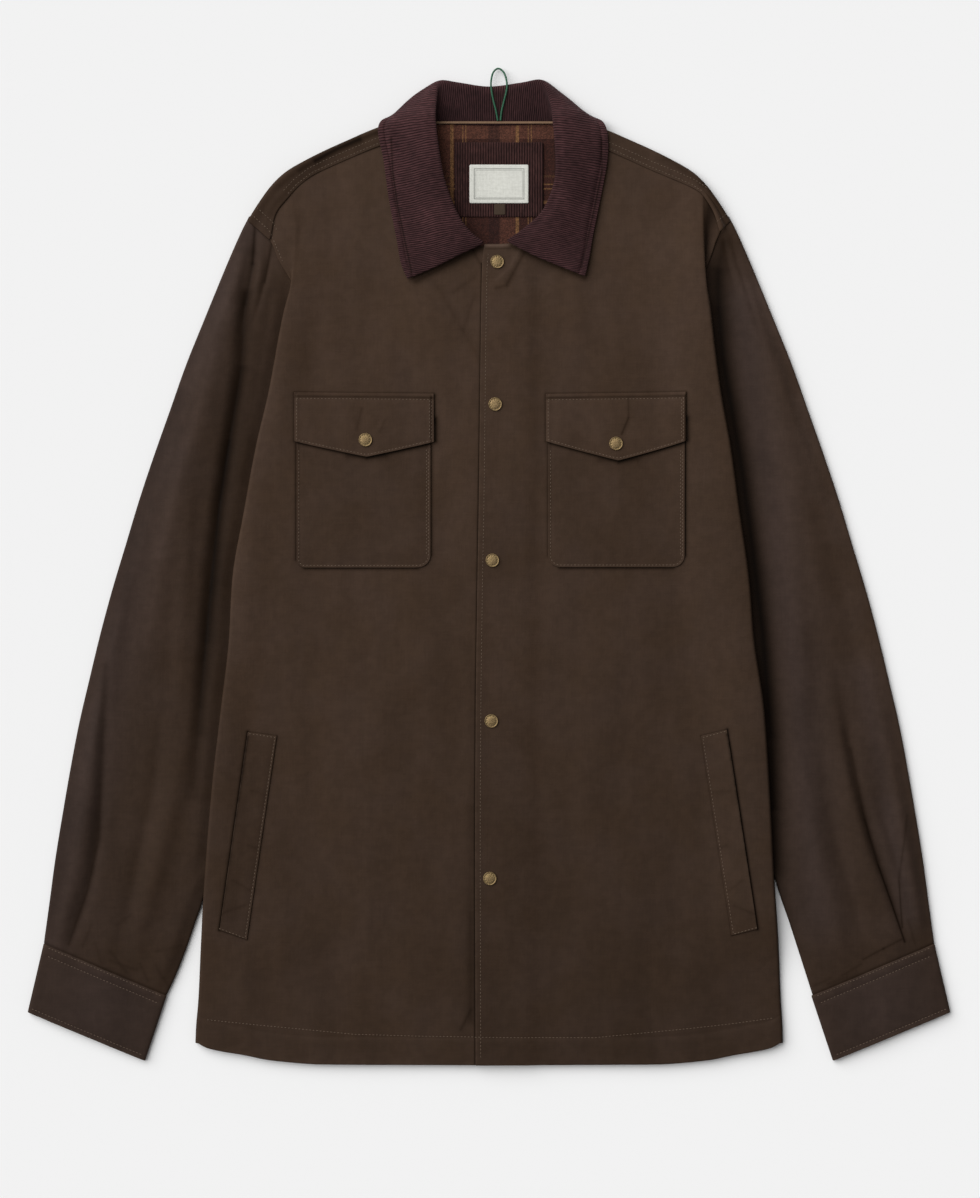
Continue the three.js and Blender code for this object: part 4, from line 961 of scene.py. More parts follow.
def braided_cord(name):
    material, w, shader, place = new_finish(name)
    x, y, _ = w.split(place)
    # the plait's crests are drawn lighter and its hollows darker: painted highlight and painted shade
    lean = w.math("ADD", w.math("MULTIPLY", x, 5200.0), w.math("MULTIPLY", y, 3600.0))
    back = w.math("SUBTRACT", w.math("MULTIPLY", x, 5200.0), w.math("MULTIPLY", y, 3600.0))
    plait = w.math("MULTIPLY", w.math("SINE", lean), w.math("SINE", back))
    level = w.span(plait, -1.0, 1.0, 0.6, 1.3)
    w.put(w.blend(1.0, (0.018, 0.1, 0.05, 1), w.grey(level), "MULTIPLY"), shader.inputs["Base Color"])
    w.put(w.span(plait, -1.0, 1.0, 0.42, 0.58), shader.inputs["Roughness"])
    shader.inputs["Specular IOR Level"].default_value = 0.4
    bump(w, shader, plait, 0.00015, 0.6)
    return material


# Where shade is painted on the cloth, and highlight where a strength is below zero
def both_sides(table):
    """The creases of both sides, from a table by side."""
    return [line for side in (-1, 1) for line in table(side)]


def pocket_shade(side):
    x0, x1, _, bottom, r0, r1 = POCKET[side]
    f0, f1, top0, top1, side0, side1, _, _ = FLAP[side]
    out_top, in_top, in_bottom, out_bottom = WELT[side]
    return [
        (f1 + 0.6, top1 - 1, f1 + 0.6, side1 + 16, 1.2, 0.6),
        (f1 + 1.2, side1 + 20, f1 + 1.4, side1 + 1, 2.1, 0.85),
        (f0 - 0.5, top0 - 1, f0 - 0.5, side0, 1.3, 0.42),
        (f0, top0 + 0.4, f1, top1 + 0.4, 0.8, 0.35),
        (x0 - 0.4, side0, x0 - 0.4, bottom + r0, 1.5, 0.7 if side < 0 else 0.4),
        (x1 + 0.4, side1, x1 + 0.4, bottom + r1, 1.7, 0.8 if side > 0 else 0.45),
        (x0 + r0, bottom - 0.5, x1 - r1, bottom - 0.5, 1.7, 0.6),
        (out_top[0] + side * 0.3, out_top[1], out_bottom[0] + side * 0.3, out_bottom[1], 1.3, 0.92),
        (*in_top, *in_bottom, 0.8, 0.3),
        (*out_top, *in_top, 0.8, 0.4),
        (*out_bottom, *in_bottom, 0.8, 0.4),
    ]


def seam_shade(side):
    k = 2 if side < 0 else 4
    spots = [(side * YOKE[i][k], YOKE[i][k + 1]) for i in (5, 7, 9, 10, 11, 12, 13)]
    depth = 0.55, 0.55, 0.5, 0.4, 0.3, 0.2
    return [[(*a, *b, 0.8, d) for a, b, d in zip(spots, spots[1:], depth)]]


def down_line(points, reach, depths):
    """Painted shade lines, one after another along a line of places."""
    return [[(*a, *b, reach, d) for a, b, d in zip(points, points[1:], depths)]]


# the long crease down the right sleeve, and the line where the left sleeve sinks beside the body; shade is
# painted along both
VALLEY = [
    (-205, 272),
    (-208, 237),
    (-211, 174),
    (-221, 112),
    (-229, 61),
    (-241, -58),
    (-248, -137),
    (-251, -190),
]
BESIDE_BODY = [
    (198.5, 280),
    (195, 256),
    (195, 225),
    (199, 180),
    (206, 140),
    (215.4, 85),
    (224, 20),
    (232.6, -50),
    (239.6, -140),
    (241.6, -200),
    (243, -250),
]


def flap_shade(side):
    f0, f1, top0, top1 = FLAP[side][:4]
    if side < 0:
        pulls = [(-108, 138.6, -112, 121, 1.7, 0.24), (-88.4, 129, -92.6, 119, 1.7, 0.2)]
    else:
        pulls = down_line([(118.2, 147), (118.4, 131), (112.6, 117)], 1.1, (0.35, 0.5))
    return [(f0 + 1, top0 - 3.4, f1 - 1, top1 - 3.4, 1.1, 0.5)] + pulls


def under_flap_shade(side):
    f0, f1, _, _, side0, side1, point, tip = FLAP[side]
    return [
        [(f0, side0 - 0.6, point, tip - 0.8, 1.4, 0.72), (point, tip - 0.8, f1, side1 - 0.8, 1.9, 0.85)],
        (point - 16, tip + 1, point + 16, tip + 1, 3.2, 0.4),
    ]


def welt_shade(side):
    out_top, in_top, in_bottom, out_bottom = WELT[side]
    return [
        (out_top[0] + 3, -185.6, in_top[0] - 9, -189.6, 1.7, 0.17),
        (out_top[0], out_top[1] - 4, out_bottom[0], out_bottom[1] + 3, 1.0, 0.9),
        (out_top[0] - 0.2 * side, -232, in_top[0] - 9 * side, -244, 1.6, 0.2),
        (out_top[0] + 12 * side, -262, in_bottom[0] - 2 * side, -270, 1.7, 0.18),
        (out_bottom[0] - 2 * side, -290, in_bottom[0] + 2 * side, -283, 1.6, 0.22),
    ]


# painted shade on the sleeves: along the valley, beside the body, by the armholes and cuffs and on the folds;
# a strength below zero paints a highlight on the sleeves' ridges and outer parts
sleeve_shade = (
    down_line([(x + 2.5, y) for x, y in VALLEY], 8, (0.3, 0.5, 0.6, 0.62, 0.62, 0.5, 0.3))
    + down_line(
        [*VALLEY[1:5], (-237, -18), (-242.5, -75), (-246, -115), (-248.7, -150), (-250.6, -183)],
        3.2,
        (0.4, 0.6, 0.75, 0.7, 0.6, 0.48, 0.34, 0.18),
    )
    + down_line([(-187, 240), (-199, 150), (-212, 75), (-226, -10), (-236, -90)], 8, (0.3, 0.28, 0.22, 0.1))
    + down_line(BESIDE_BODY, 12, (0.35, 0.5, 0.5, 0.5, 0.5, 0.5, 0.5, 0.5, 0.42, 0.3))
    + down_line(BESIDE_BODY, 6, (0.45, 0.65, 0.75, 0.78, 0.78, 0.78, 0.78, 0.78, 0.7, 0.5))
    + down_line([(-236, 214), (-262, 146), (-290, 61), (-315, -24), (-336, -100)], 13, (0.1, 0.22, 0.2, 0.12))
    + down_line([(-352, -200), (-364, -250), (-374, -300)], 11, (0.12, 0.2))
    + down_line(
        [(228, 240), (262, 146), (290, 61), (314, -24), (338, -109), (356, -190)],
        13,
        (-0.3, -0.42, -0.42, -0.34, -0.2),
    )
    + down_line(
        [(-222, 226), (-234, 185), (-246, 141), (-260, 97), (-280, 14), (-290, -60)],
        6,
        (-0.2, -0.3, -0.3, -0.24, -0.14),
    )
    + [(206, 297, 200, 286, 3, -0.25)]
    + [
        (-204.8, 301, -185.2, 283.4, 0.7, 0.5),
        (204.8, 301, 197, 293.6, 0.7, 0.5),
        (-199, 296, -201, 262, 1.5, 0.55),
        (-201, 262, -207, 228, 2.4, 0.4),
        (-184.5, 281, -190.5, 246, 1.3, 0.5),
        (-377.9, -315.2, -275, -359, 1.2, 0.35),
        (377.9, -315.2, 275, -359, 1.2, 0.35),
        [
            (307, -150, 319, -210, 2.0, 0.3),
            (319, -210, 330, -248, 1.5, 0.5),
            (330, -248, 341, -279, 1.0, 0.75),
            (341, -279, 353, -314, 1.0, 0.8),
        ],
        [(355, -207, 348.2, -262, 1.2, 0.28), (348.2, -262, 351, -302, 0.9, 0.5)],
        (318, -329, 335, -320, 1.2, 0.4),
        (335, -320, 350, -312, 1.2, 0.4),
        (300, -343, 316, -333, 1.3, 0.25),
        [
            (-326, -80, -330, -180, 3.4, 0.25),
            (-330, -180, -332, -228, 2.6, 0.35),
            (-332, -228, -341, -270, 1.8, 0.3),
            (-341, -270, -357, -316, 1.6, 0.35),
        ],
        (-273, -352, -283, -334, 1.7, 0.17),
        (-290, -347, -296, -333, 1.6, 0.18),
        (-308, -340, -322, -322, 1.6, 0.17),
        (-330, -332, -334, -316, 1.6, 0.16),
        (-283, -322, -262, -318, 1.8, 0.14),
        (276, -352, 290, -345, 1.5, 0.2),
        (288, -350, 304, -344, 1.5, 0.2),
        (362, -316, 356, -296, 1.4, 0.2),
        (-297, -120, -262, -84, 7, -0.08),
        (-316, -300, -304, -291, 1.9, 0.16),
        (-322, -330, -300, -338, 1.7, 0.2),
        (-345, -318, -338, -300, 1.6, 0.17),
    ]
)
# painted shade along the shoulders' rolled edges
shoulder_shade = [
    [
        (-92, 374.5, -110, 367.6, 3.0, 0.5),
        (-110, 367.6, -129.5, 359.2, 3.9, 0.85),
        (-129.5, 359.2, -147.5, 349.2, 3.9, 0.85),
        (-147.5, 349.2, -161, 341, 3.4, 0.5),
        (-161, 341, -178, 328, 3.0, 0.22),
    ],
    (-150, 340, -202, 296, 13, 0.25),
    (150, 352, 182, 330, 3.4, 0.3),
    (182, 330, 202, 302, 3.4, 0.35),
]
# painted shade on the right front: beside the over front's edge, under the collar leaf and in broad folds; a
# strength below zero paints a highlight
lap_side_shade = [
    [
        (-16, -60, -15, -200, 4.0, 0.12),
        (-15, -200, -15.5, -290, 4.4, 0.25),
        (-15.5, -290, -15.5, -380, 4.4, 0.42),
    ],
    (-46, 246, -9, 182, 2.6, 0.13),
    (-112, -178, -52, -92, 13, 0.07),
    (-100, -120, -40, -30, 12, -0.05),
    (-196, -350, -140, -318, 13, 0.1),
    *down_line(
        [(-178, 190), (-191, 140), (-205, 60), (-218, -30), (-228, -120)], 15, (-0.08, -0.14, -0.16, -0.12)
    ),
    (-15.5, -372, -24, -389, 1.6, 0.35),
    (-14, 274, -7.5, 262, 1.6, 0.3),
    (-5, 276, -62, 247, 3.2, 0.5),
    (-13, 250, -30, 238, 2.2, 0.2),
    (-12, 236, -22, 205, 2.0, 0.15),
]
# painted shadow of the over front's edge along the placket
lap_shade = down_line(
    [(-11.9, -419), (-12.3, -228), (-11.7, -109), (-8.9, 78), (-6.3, 262)], 0.8, (0.75, 0.75, 0.75, 0.75)
)
right_front_cotton = waxed_cotton(
    "waxed cotton, right front",
    pocket_shade(-1) + seam_shade(-1) + lap_shade + lap_side_shade,
    low=0.93,
    high=1.37,
)
left_front_cotton = waxed_cotton(
    "waxed cotton, left front",
    pocket_shade(1)
    + seam_shade(1)
    + [
        # painted shade under the collar leaf and in the fold beside the placket; a strength below zero paints
        # a highlight on the fold's ridge and the placket's top edge
        [(30, 271, 20.5, 254, 1.6, 0.35), (20.5, 254, 15, 243.6, 2.0, 0.45), (15, 243.6, 6, 241, 1.8, 0.3)],
        [(26, 274, 17.6, 258.5, 2.2, -0.3), (17.6, 258.5, 6, 248, 2.2, -0.3)],
        (-3, 277.2, 17, 277.6, 1.3, -0.8),
        (-3, 274.4, 18, 274.8, 0.8, 0.3),
        (-2, 268, 1, 262, 2.2, 0.2),
        (18, 277, 81, 249.5, 2.4, 0.4),
    ],
    low=0.8,
    high=1.35,
)
pocket_cotton = waxed_cotton("waxed cotton, pockets", both_sides(under_flap_shade), high=1.23)
flap_cotton = waxed_cotton("waxed cotton, flaps", both_sides(flap_shade), high=1.38)
welt_cotton = waxed_cotton("waxed cotton, welts", both_sides(welt_shade))
yoke_cotton = waxed_cotton("waxed cotton, yoke", shoulder_shade, high=1.2)
back_cotton = waxed_cotton("waxed cotton, back")
sleeve_cool = [
    (-204, 300, -284, 99, 22, 0.9),
    (-284, 99, -378, -317, 30, 0.9),
    *down_line(
        [(212, 230), (224, 146), (239, 61), (250, -24), (262, -109), (270, -194), (278, -290)], 26, [0.9] * 6
    ),
    *down_line([(318, -90), (337, -194), (356, -290)], 15, (0.7, 0.9)),
]


def on_side(runs, side):
    """The creases that lie on one side of the jacket."""
    return [run for run in runs if side * (run[0] if isinstance(run, list) else run)[0] > 0]


sleeve_cotton = {
    side: waxed_cotton(
        f"waxed cotton, {worn} sleeve",
        on_side(sleeve_shade, side),
        low=0.78,
        high=1.12,
        cool=on_side(sleeve_cool, side),
    )
    for side, worn in SIDES
}
cuff_cool = [(side * 330, -360, side * 336, -374, 90, 0.9) for side in (-1, 1)]
cuff_cotton = waxed_cotton("waxed cotton, cuffs", low=0.76, high=0.9, cool=cuff_cool)
collar_shade = down_line(
    [(-83, 368), (-81.6, 338.6), (-77.6, 310.8), (-72, 283.9), (-65.6, 254)], 0.9, (0.6, 0.75, 0.75, 0.7)
) + down_line([(95.4, 368), (95.8, 340), (89.6, 310), (78.4, 258)], 0.9, (0.6, 0.75, 0.7))
collar_cord = corduroy(
    "corduroy", (0.0075, 0.0026, 0.0026, 1), (0.0595, 0.0248, 0.026, 1), creases=collar_shade
)
patch_cord = corduroy(
    "corduroy, neck patch", (0.0075, 0.0026, 0.0024, 1), (0.045, 0.019, 0.0172, 1), upright=True
)
lining_plaid = plaid("plaid lining")
tape_cloth = plain_cloth("neck tape", (0.2, 0.122, 0.074, 1), 700.0)
tab_cloth = plain_cloth("tab", (0.052, 0.034, 0.022, 1), 900.0)
label_weave = label_cloth("label cloth")
brass = antique_brass("antique brass")
brown_thread = thread("brown thread", (0.15, 0.105, 0.073, 1))
loop.data.materials.append(braided_cord("green cord"))

# Body
edge_curve = {-1: curve([(y, a) for y, a, b in BODY_EDGE]), 1: curve([(y, b) for y, a, b in BODY_EDGE])}
hem_curve = curve(HEM)
lap_curve = curve(LAP_EDGE)
top_curve = {}
for side in (-1, 1):
    k = 2 if side < 0 else 4
    seam = [(c[k], c[k + 1]) for c in YOKE[4 if side < 0 else 5 : 12]]
    top_curve[side] = (curve(NECKLINE[side] + seam), NECKLINE[side][0][0], seam[-1])
flank_curve = {
    side: [curve([(r[0], r[k]) for r in FLANK[side]]) for k in (1, 2, 3, 4)] for side in (-1, 1)
}


def edge_x(side, y):
    return edge_curve[side](y)


def low_lift(y):
    return SLEEVE_LIFT * smooth((y + 308) / 22)


def high_lift(side, y):
    top = smooth((318 - y) / 95) if side < 0 else smooth((327 - y) / 72)
    return RISE[side] * min(smooth((y + 350) / 66), top)


def front_height(side, x, y):
    out = side * x
    near = edge_x(side, y)
    slope = 62 if side > 0 else 34
    raised = high_lift(side, y) * smooth((out - near + slope) / (slope - 4))
    lap = LAP_STEP * (1 - smooth((x - 30) / 14)) if side > 0 else 0
    open_out = smooth((out - 12) / 10)
    folds = fold_height(FRONT_FOLDS[side], out, y) * open_out
    hem_gap = y - hem_curve(out)
    hem_turn = 0.5 * (1 - smooth((hem_gap - 21.5) / 1.5)) - 0.35 * math.exp(-(((hem_gap - 23) / 1.3) ** 2))
    pucker = math.sin((x + 0.8 * y) / 2.9 + 4 * noise.noise(Vector((x / 30, y / 30, 1.7))))
    hem_turn += 0.16 * pucker * (1 - smooth((hem_gap - 19) / 5)) * smooth(hem_gap / 5)
    loose = waviness(x, y, 62, 0.5, 3.1 + side) + waviness(x, y, 21, 0.13, 7.7)
    topline, _, _ = top_curve[side]
    under = 1.3 * smooth((y - topline(out) - 0.1) / 1.6) * smooth((out - 58) / 8)
    return FRONT_Z + raised + lap + folds + hem_turn + loose * smooth((327 - y) / 20) - under


FLAT_SHARE = 0.82


def front_place(side):
    topline, first, (last, last_y) = top_curve[side]
    hem_first = first if side < 0 else lap_curve(-419)
    hem_last = edge_x(side, -400) - BODY_PITCH / 2
    flank = flank_curve[side]

    def row_point(f, b):
        top_x = lerp(first, last, f)
        hem_x = lerp(hem_first, hem_last, f)
        y = lerp(hem_curve(abs(hem_x)), topline(top_x) + 3.2 * smooth((top_x - 60) / 8), b)
        roll_x = edge_x(side, lerp(hem_curve(hem_last), last_y, b)) - 2.2
        edge_shift = (roll_x - lerp(hem_last, last, b)) * f * f
        lap_shift = (lap_curve(y) - lerp(hem_first, first, b)) * (1 - f) ** 2 if side > 0 else 0
        x = side * (lerp(hem_x, top_x, b) + edge_shift + lap_shift)
        return x, y, front_height(side, x, y)

    def place(u, v):
        if u <= FLAT_SHARE:
            return row_point(u / FLAT_SHARE, v)
        x, y, z = row_point(1.0, v)
        out = side * x
        low = FLOOR + low_lift(y)
        t = (u - FLAT_SHARE) / (1 - FLAT_SHARE)
        if y < 200:
            seam_x, seam_y, seam_z = edge_x(side, y) - SIDE_TURN, y, low
        else:
            seam_x, seam_y, seam_z = flank[0](y), flank[1](y), flank[2](y)
        tall = (z - low) / 2
        turn = min(1.0, t * 1.45) * math.pi
        closed = Vector((out + 2.2 * math.sin(turn), y, low + tall * (1 + math.cos(turn))))
        if t > 0.69:
            closed = closed.lerp(Vector((seam_x, seam_y, seam_z)), smooth((t - 0.69) / 0.31))
        if side < 0:
            via = Vector((out + (seam_x - out) * 0.75 + 3, lerp(y, seam_y, 0.42), lerp(z, seam_z, 0.25)))
        else:
            via = Vector((out + (seam_x - out) * 0.4, lerp(y, seam_y, 0.42), seam_z - 3.4))
        sewn_at = Vector((seam_x, seam_y, seam_z))
        wide = Vector((out, y, z)) * (1 - t) ** 2 + via * (2 * t * (1 - t)) + sewn_at * t * t
        p = closed.lerp(wide, flank[3](y))
        lapped = smooth((v - 0.97) / 0.03) * smooth(t * 3)
        return side * (p.x + 2.8 * lapped), p.y + 0.6 * lapped, p.z - 0.8 * lapped

    return place


HEM_ROWS = [0, 0.0012, 0.004, 0.009, 0.016, 0.0225, 0.027, 0.0295, 0.0315, 0.0335, 0.036, 0.042, 0.05]
FRONT_ROWS = HEM_ROWS + [lerp(0.05, 0.985, i / 100) for i in range(1, 101)] + [0.989, 0.993, 0.9965, 1]
FRONT_COLUMNS = [0, 0.004, 0.012, 0.022]
FRONT_COLUMNS += [round(lerp(0.022, 0.95, i / 44) * FLAT_SHARE, 6) for i in range(1, 45)]
FRONT_COLUMNS += [lerp(FRONT_COLUMNS[-1], FLAT_SHARE, i / 5) for i in range(1, 6)]
FRONT_COLUMNS += [lerp(FLAT_SHARE, 1, i / 14) for i in range(1, 15)]


def placket_wear(u, v):
    return 0.5 * math.exp(-u / 0.005) + 0.25 * math.exp(-v / 0.004)


def flank_shade(side):
    """Painted shade on the cloth turned down beside the body, where it lies in shade."""

    def painted_shade(u, v, x, y):
        if side < 0:
            return 0.05 * smooth((u - 0.845) / 0.05)
        outward = 0.75 * smooth((u - 0.9) / 0.08) * smooth((y - 250) / 20)
        strength = lerp(0.6, 0.8, smooth((256 - y) / 40)) * smooth((324 - y) / 16)
        return strength * (1 - outward) * smooth((u - 0.83) / 0.05)

    return painted_shade


front_right = cloth(
    "front_right_panel",
    FRONT_COLUMNS,
    FRONT_ROWS,
    front_place(-1),
    CLOTH,
    worn=placket_wear,
    painted_shade=flank_shade(-1),
)
front_left = cloth(
    "front_left_panel",
    FRONT_COLUMNS,
    FRONT_ROWS,
    front_place(1),
    CLOTH,
    worn=lambda u, v: 0.6 * placket_wear(u, v),
    painted_shade=flank_shade(1),
)
dress(front_right, "front_right", right_front_cotton)
dress(front_left, "front_left", left_front_cotton)


def back_edge(side, y):
    plain = edge_x(side, y) - SIDE_TURN - 0.6
    if y < 185:
        return plain
    return lerp(edge_x(side, 185) - SIDE_TURN - 0.6, 150, smooth((y - 185) / 51) ** 0.8)


def back_place(u, v):
    f = 2 * u - 1
    side = -1 if f < 0 else 1
    reach = abs(f) ** 0.8
    hem_x = reach * (edge_x(side, -400) - SIDE_TURN - 0.6)
    y = lerp(hem_curve(hem_x), BACK_YOKE_Y + 2.5, v)
    x = side * reach * back_edge(side, y)
    lift = min(low_lift(y), SLEEVE_LIFT * smooth((242 - y) / 20))
    z = FLOOR + lift * smooth((side * x - back_edge(side, y) + 16) / 13)
    return x, y, z + 0.5 * smooth((y - 228) / 8)


back = cloth("back_panel", spaced(48), spaced(48), back_place, CLOTH)
dress(back, "back", back_cotton)

# yoke: up the back, over the shoulder, down to its seam on the front
yoke_mid = curve(YOKE_MIDDLE)


def yoke_place(u, v):
    f = 2 * u - 1
    side = -1 if f < 0 else 1
    k = abs(f) * (len(YOKE) - 1 + 0.16)
    tx, ty, lx, ly, rx, ry, mx, bx = (through([c[i] for c in YOKE], k) for i in range(8))
    fx, fy = (lx, ly) if side < 0 else (rx, ry)
    start = 47 if side < 0 else 55
    wrapped = smooth((tx - start) / 12)
    radius = BODY_PITCH / 2
    inset = CLOTH / 2 * 0.8
    away = Vector((fx - tx, fy - ty, 0))
    reach = max(away.length, 0.1)
    away = away / reach
    shoulder = Vector((tx, ty, FLOOR)) + away * inset
    bottom = Vector((bx, BACK_YOKE_Y, FLOOR))
    middle = Vector((mx, yoke_mid(mx), FLOOR))
    if v < 0.5:
        s = v / 0.5
        end = shoulder + away * (radius * wrapped + 2 * (1 - wrapped))
        p = bottom * (1 - s) ** 2 + (middle * 2 - bottom * 0.5 - end * 0.5) * (2 * s * (1 - s)) + end * s * s
        p.z = FLOOR
    else:
        s = (v - 0.5) / 0.5
        flat = shoulder + away * (2 * (1 - s))
        crown = 1.6 * smooth((tx - 60) / 20) * smooth((206 - tx) / 20)
        if s < 0.6:
            turn = s / 0.6 * math.pi
            rolled = shoulder + away * (radius * (1 - math.sin(turn)) * 0.9)
            rolled.z = FLOOR + (radius + crown / 2) * (1 - math.cos(turn))
        else:
            q = (s - 0.6) / 0.4
            rolled = shoulder + away * lerp(radius * 0.9, reach - inset + 1.1, q)
            seam = front_height(side, side * fx, fy - 4) - FRONT_Z + 0.85
            rolled.z = FRONT_Z + crown * (1 - smooth(q * 1.1)) + seam * smooth((q - 0.25) / 0.4)
            rolled.z += waviness(side * tx, fy, 9, 0.22, 2.2) * smooth(q * 3)
        p = flat.lerp(rolled, wrapped)
    return side * p.x, p.y, p.z


YOKE_ROWS = [i / 20 * 0.5 for i in range(20)] + [0.5 + 0.5 * i / 26 for i in range(27)]
yoke = cloth(
    "yoke_panel",
    spaced(96),
    YOKE_ROWS,
    yoke_place,
    CLOTH,
    worn=lambda u, v: 0.4 * math.exp(-(1 - v) / 0.012) * smooth((0.82 - abs(2 * u - 1)) / 0.1),
)
dress(yoke, "yoke", yoke_cotton)

# Sleeves and cuffs
loose_inner = {side: curve(SLEEVE_INNER[side]) for side in (-1, 1)}
PARTING = {-1: (-240, 41), 1: (-222, 42)}  # where a sleeve leaves the body, and over what length
ARMPIT_Y = 222
NEAR_INNER = {
    side: curve(
        [
            (281.6, 184.9),
            (268, 177.6),
            (250, 166 if side < 0 else 172),
            (236, 158.5 if side < 0 else 170),
            (ARMPIT_Y, edge_x(side, ARMPIT_Y) - TUCK),
        ]
    )
    for side in (-1, 1)
}


def sleeve_inner_x(side, y):
    if y > ARMPIT_Y:
        return NEAR_INNER[side](y)
    start, length = PARTING[side]
    if y > start:
        return edge_x(side, y) - TUCK
    if y > start - length:
        parted = smooth((start - y) / length)
        return lerp(edge_x(side, start) - TUCK, loose_inner[side](start - length), parted)
    return loose_inner[side](y)


def sleeve_rise(side, x, y, d, wide):
    """The height of a sleeve's upper layer over its flat pitch."""
    out = side * x
    body = edge_x(side, y)
    clear = smooth((out - body + 1.5) / 12) if side < 0 else smooth((out - body - 1) / 24)
    if y <= -240:
        clear = lerp(clear, smooth(d / 13), smooth((-240 - y) / 30))
    if y > ARMPIT_Y:
        clear = min(clear, smooth((out - NEAR_INNER[side](y) - 10) / 16)) * 0.6 + 0.4 * clear
    head = smooth((300 - y) / 60)
    end = smooth((y + 372 - (out - 275) * 0.43) / 46)
    puff = 3.2 * head * (0.25 + 0.75 * end)
    folds = fold_height(SLEEVE_FOLDS[side], out, y) * lerp(0.7, 1, end)
    loose = waviness(x, y, 40, 0.7, 5 + side) + waviness(x, y, 15, 0.2, 9)
    edge = smooth((wide - d) / 15)
    return max(-1.6, min(11.0, puff + folds + loose)) * clear * edge


def sleeve_place(side):
    rings = len(SLEEVE) - 1

    def place(u, v):
        k = lerp(-0.3, rings, v)
        ox, oy, iy = (through([r[i] for r in SLEEVE], k) for i in range(3))
        ix = sleeve_inner_x(side, iy)
        inner = Vector((side * ix, iy, 0))
        outer = Vector((side * (ox + 0.35), oy, 0))
        wide = (outer - inner).length
        r = SLEEVE_PITCH / 2
        d, z, upper = ring_at(u, wide, r)
        p = inner.lerp(outer, d / wide)
        if upper > 0:
            z += sleeve_rise(side, p.x, p.y, d, wide) * upper
        return p.x, p.y, FLOOR + z

    return place


def ring_at(u, wide, r):
    """Round a flattened tube: along below, round the outer edge, back above, round the inner edge."""
    if u < 0.2:
        return lerp(r, wide - r, u / 0.2), 0.0, 0
    if u < 0.28:
        turn = (u - 0.2) / 0.08 * math.pi
        return wide - r + r * math.sin(turn), r * (1 - math.cos(turn)), 0
    if u < 0.94:
        return lerp(wide - r, r, (u - 0.28) / 0.66), 2 * r, 1
    turn = math.pi + (u - 0.94) / 0.06 * math.pi
    return r + r * math.sin(turn), r * (1 - math.cos(turn)), 0


RING = (
    [0.2 * i / 10 for i in range(10)]
    + [0.2 + 0.08 * i / 6 for i in range(6)]
    + [0.28 + 0.66 * i / 52 for i in range(52)]
    + [0.94 + 0.06 * i / 5 for i in range(6)]
)
SLEEVE_ROWS = spaced(110)
sleeves = {}
for side, worn in SIDES:
    tube = cloth(f"sleeve_{worn}_tube", RING, SLEEVE_ROWS, sleeve_place(side), CLOTH, ring=True)
    dress(tube, f"sleeve_{worn}", sleeve_cotton[side])
    sleeves[side] = tube

CUFF_WALL = 2.2


def cuff_side(side, edge, v):
    """A place on the cuff's inner or outer edge, from the sleeve's end to its own."""
    (x0, y0), (x1, y1) = CUFF[edge], CUFF[edge + "_end"]
    return Vector((side * lerp(x0, x1, v), lerp(y0, y1, v), 0))


def cuff_place(side):
    def place(u, v):
        inner = cuff_side(side, "inner", v)
        outer = cuff_side(side, "outer", v)
        wide = (outer - inner).length
        r = SLEEVE_PITCH / 2
        d, z, upper = ring_at(u, wide, r)
        p = inner.lerp(outer, d / wide)
        if upper:
            crown = 1.5 * math.sin(math.pi * clamp01(d / wide)) ** 0.6
            seam = -0.5 * math.exp(-(((v - 0.145) / 0.03) ** 2)) - 0.3 * math.exp(-(((v - 0.93) / 0.02) ** 2))
            z += crown * (0.75 + 0.25 * v) + seam * smooth(min(d, wide - d) / 6)
            z += waviness(p.x, p.y, 26, 0.55, 4.2) * smooth(min(d, wide - d) / 12)
        return p.x, p.y, CUFF_WALL / 2 + z

    return place


CUFF_ROWS = [0, 0.012, 0.04, 0.08, 0.11, 0.13, 0.145, 0.16, 0.18, 0.22]
CUFF_ROWS += [0.22 + 0.68 * i / 14 for i in range(1, 15)]
CUFF_ROWS += [0.92, 0.93, 0.945, 0.965, 0.99, 1]
cuffs = {}
for side, worn in SIDES:
    cuffs[side] = cloth(
        f"cuff_{worn}_band",
        RING,
        CUFF_ROWS,
        cuff_place(side),
        CUFF_WALL,
        ring=True,
        worn=lambda u, v: 0.5 * math.exp(-v / 0.03) + 0.5 * math.exp(-(1 - v) / 0.02),
    )
    dress(cuffs[side], f"cuff_{worn}", cuff_cotton)

# Collar
STATIONS = len(COLLAR) - 1


def collar_point(u, v):
    row = [[through([s[k][axis] for s in COLLAR], u * STATIONS) for k in range(6)] for axis in range(3)]
    return Vector(through(values, v * 5) for values in row)


def collar_body(u, v):
    p = collar_point(u, v)
    if p.z > 7.7:
        p.z = 7.7 + (p.z - 7.7) * 1.55
    leaf = smooth((v - 0.5) / 0.35)
    side_leaf = smooth((abs(u - 0.5) - 0.24) / 0.05)
    tip = math.exp(-(min(u, 1 - u) / 0.06))
    p.z += leaf * side_leaf * (1.1 + 1.6 * tip * smooth((v - 0.8) / 0.2))
    p.z += waviness(p.x, p.y, 24, 0.8, 1.3) * leaf * side_leaf
    if v < 0.2:
        p.y -= 2.2 * (1 - v / 0.2) * smooth((0.3 - abs(u - 0.5)) / 0.06)
    return p


COLLAR_ALONG = spaced(144)
COLLAR_ACROSS = [0.42 * i / 14 for i in range(14)] + [0.42 + 0.5 * i / 18 for i in range(18)]
COLLAR_ACROSS += [0.92, 0.93, 0.94, 0.95, 0.957, 0.964, 0.972, 0.982, 0.992, 1.0]
# how far along the roll line each place lies, so that the wales keep one width
ROLL_AT = [0.0]
for i in range(1, 301):
    ROLL_AT.append(ROLL_AT[-1] + (collar_point(i / 300, 0.5) - collar_point((i - 1) / 300, 0.5)).length)


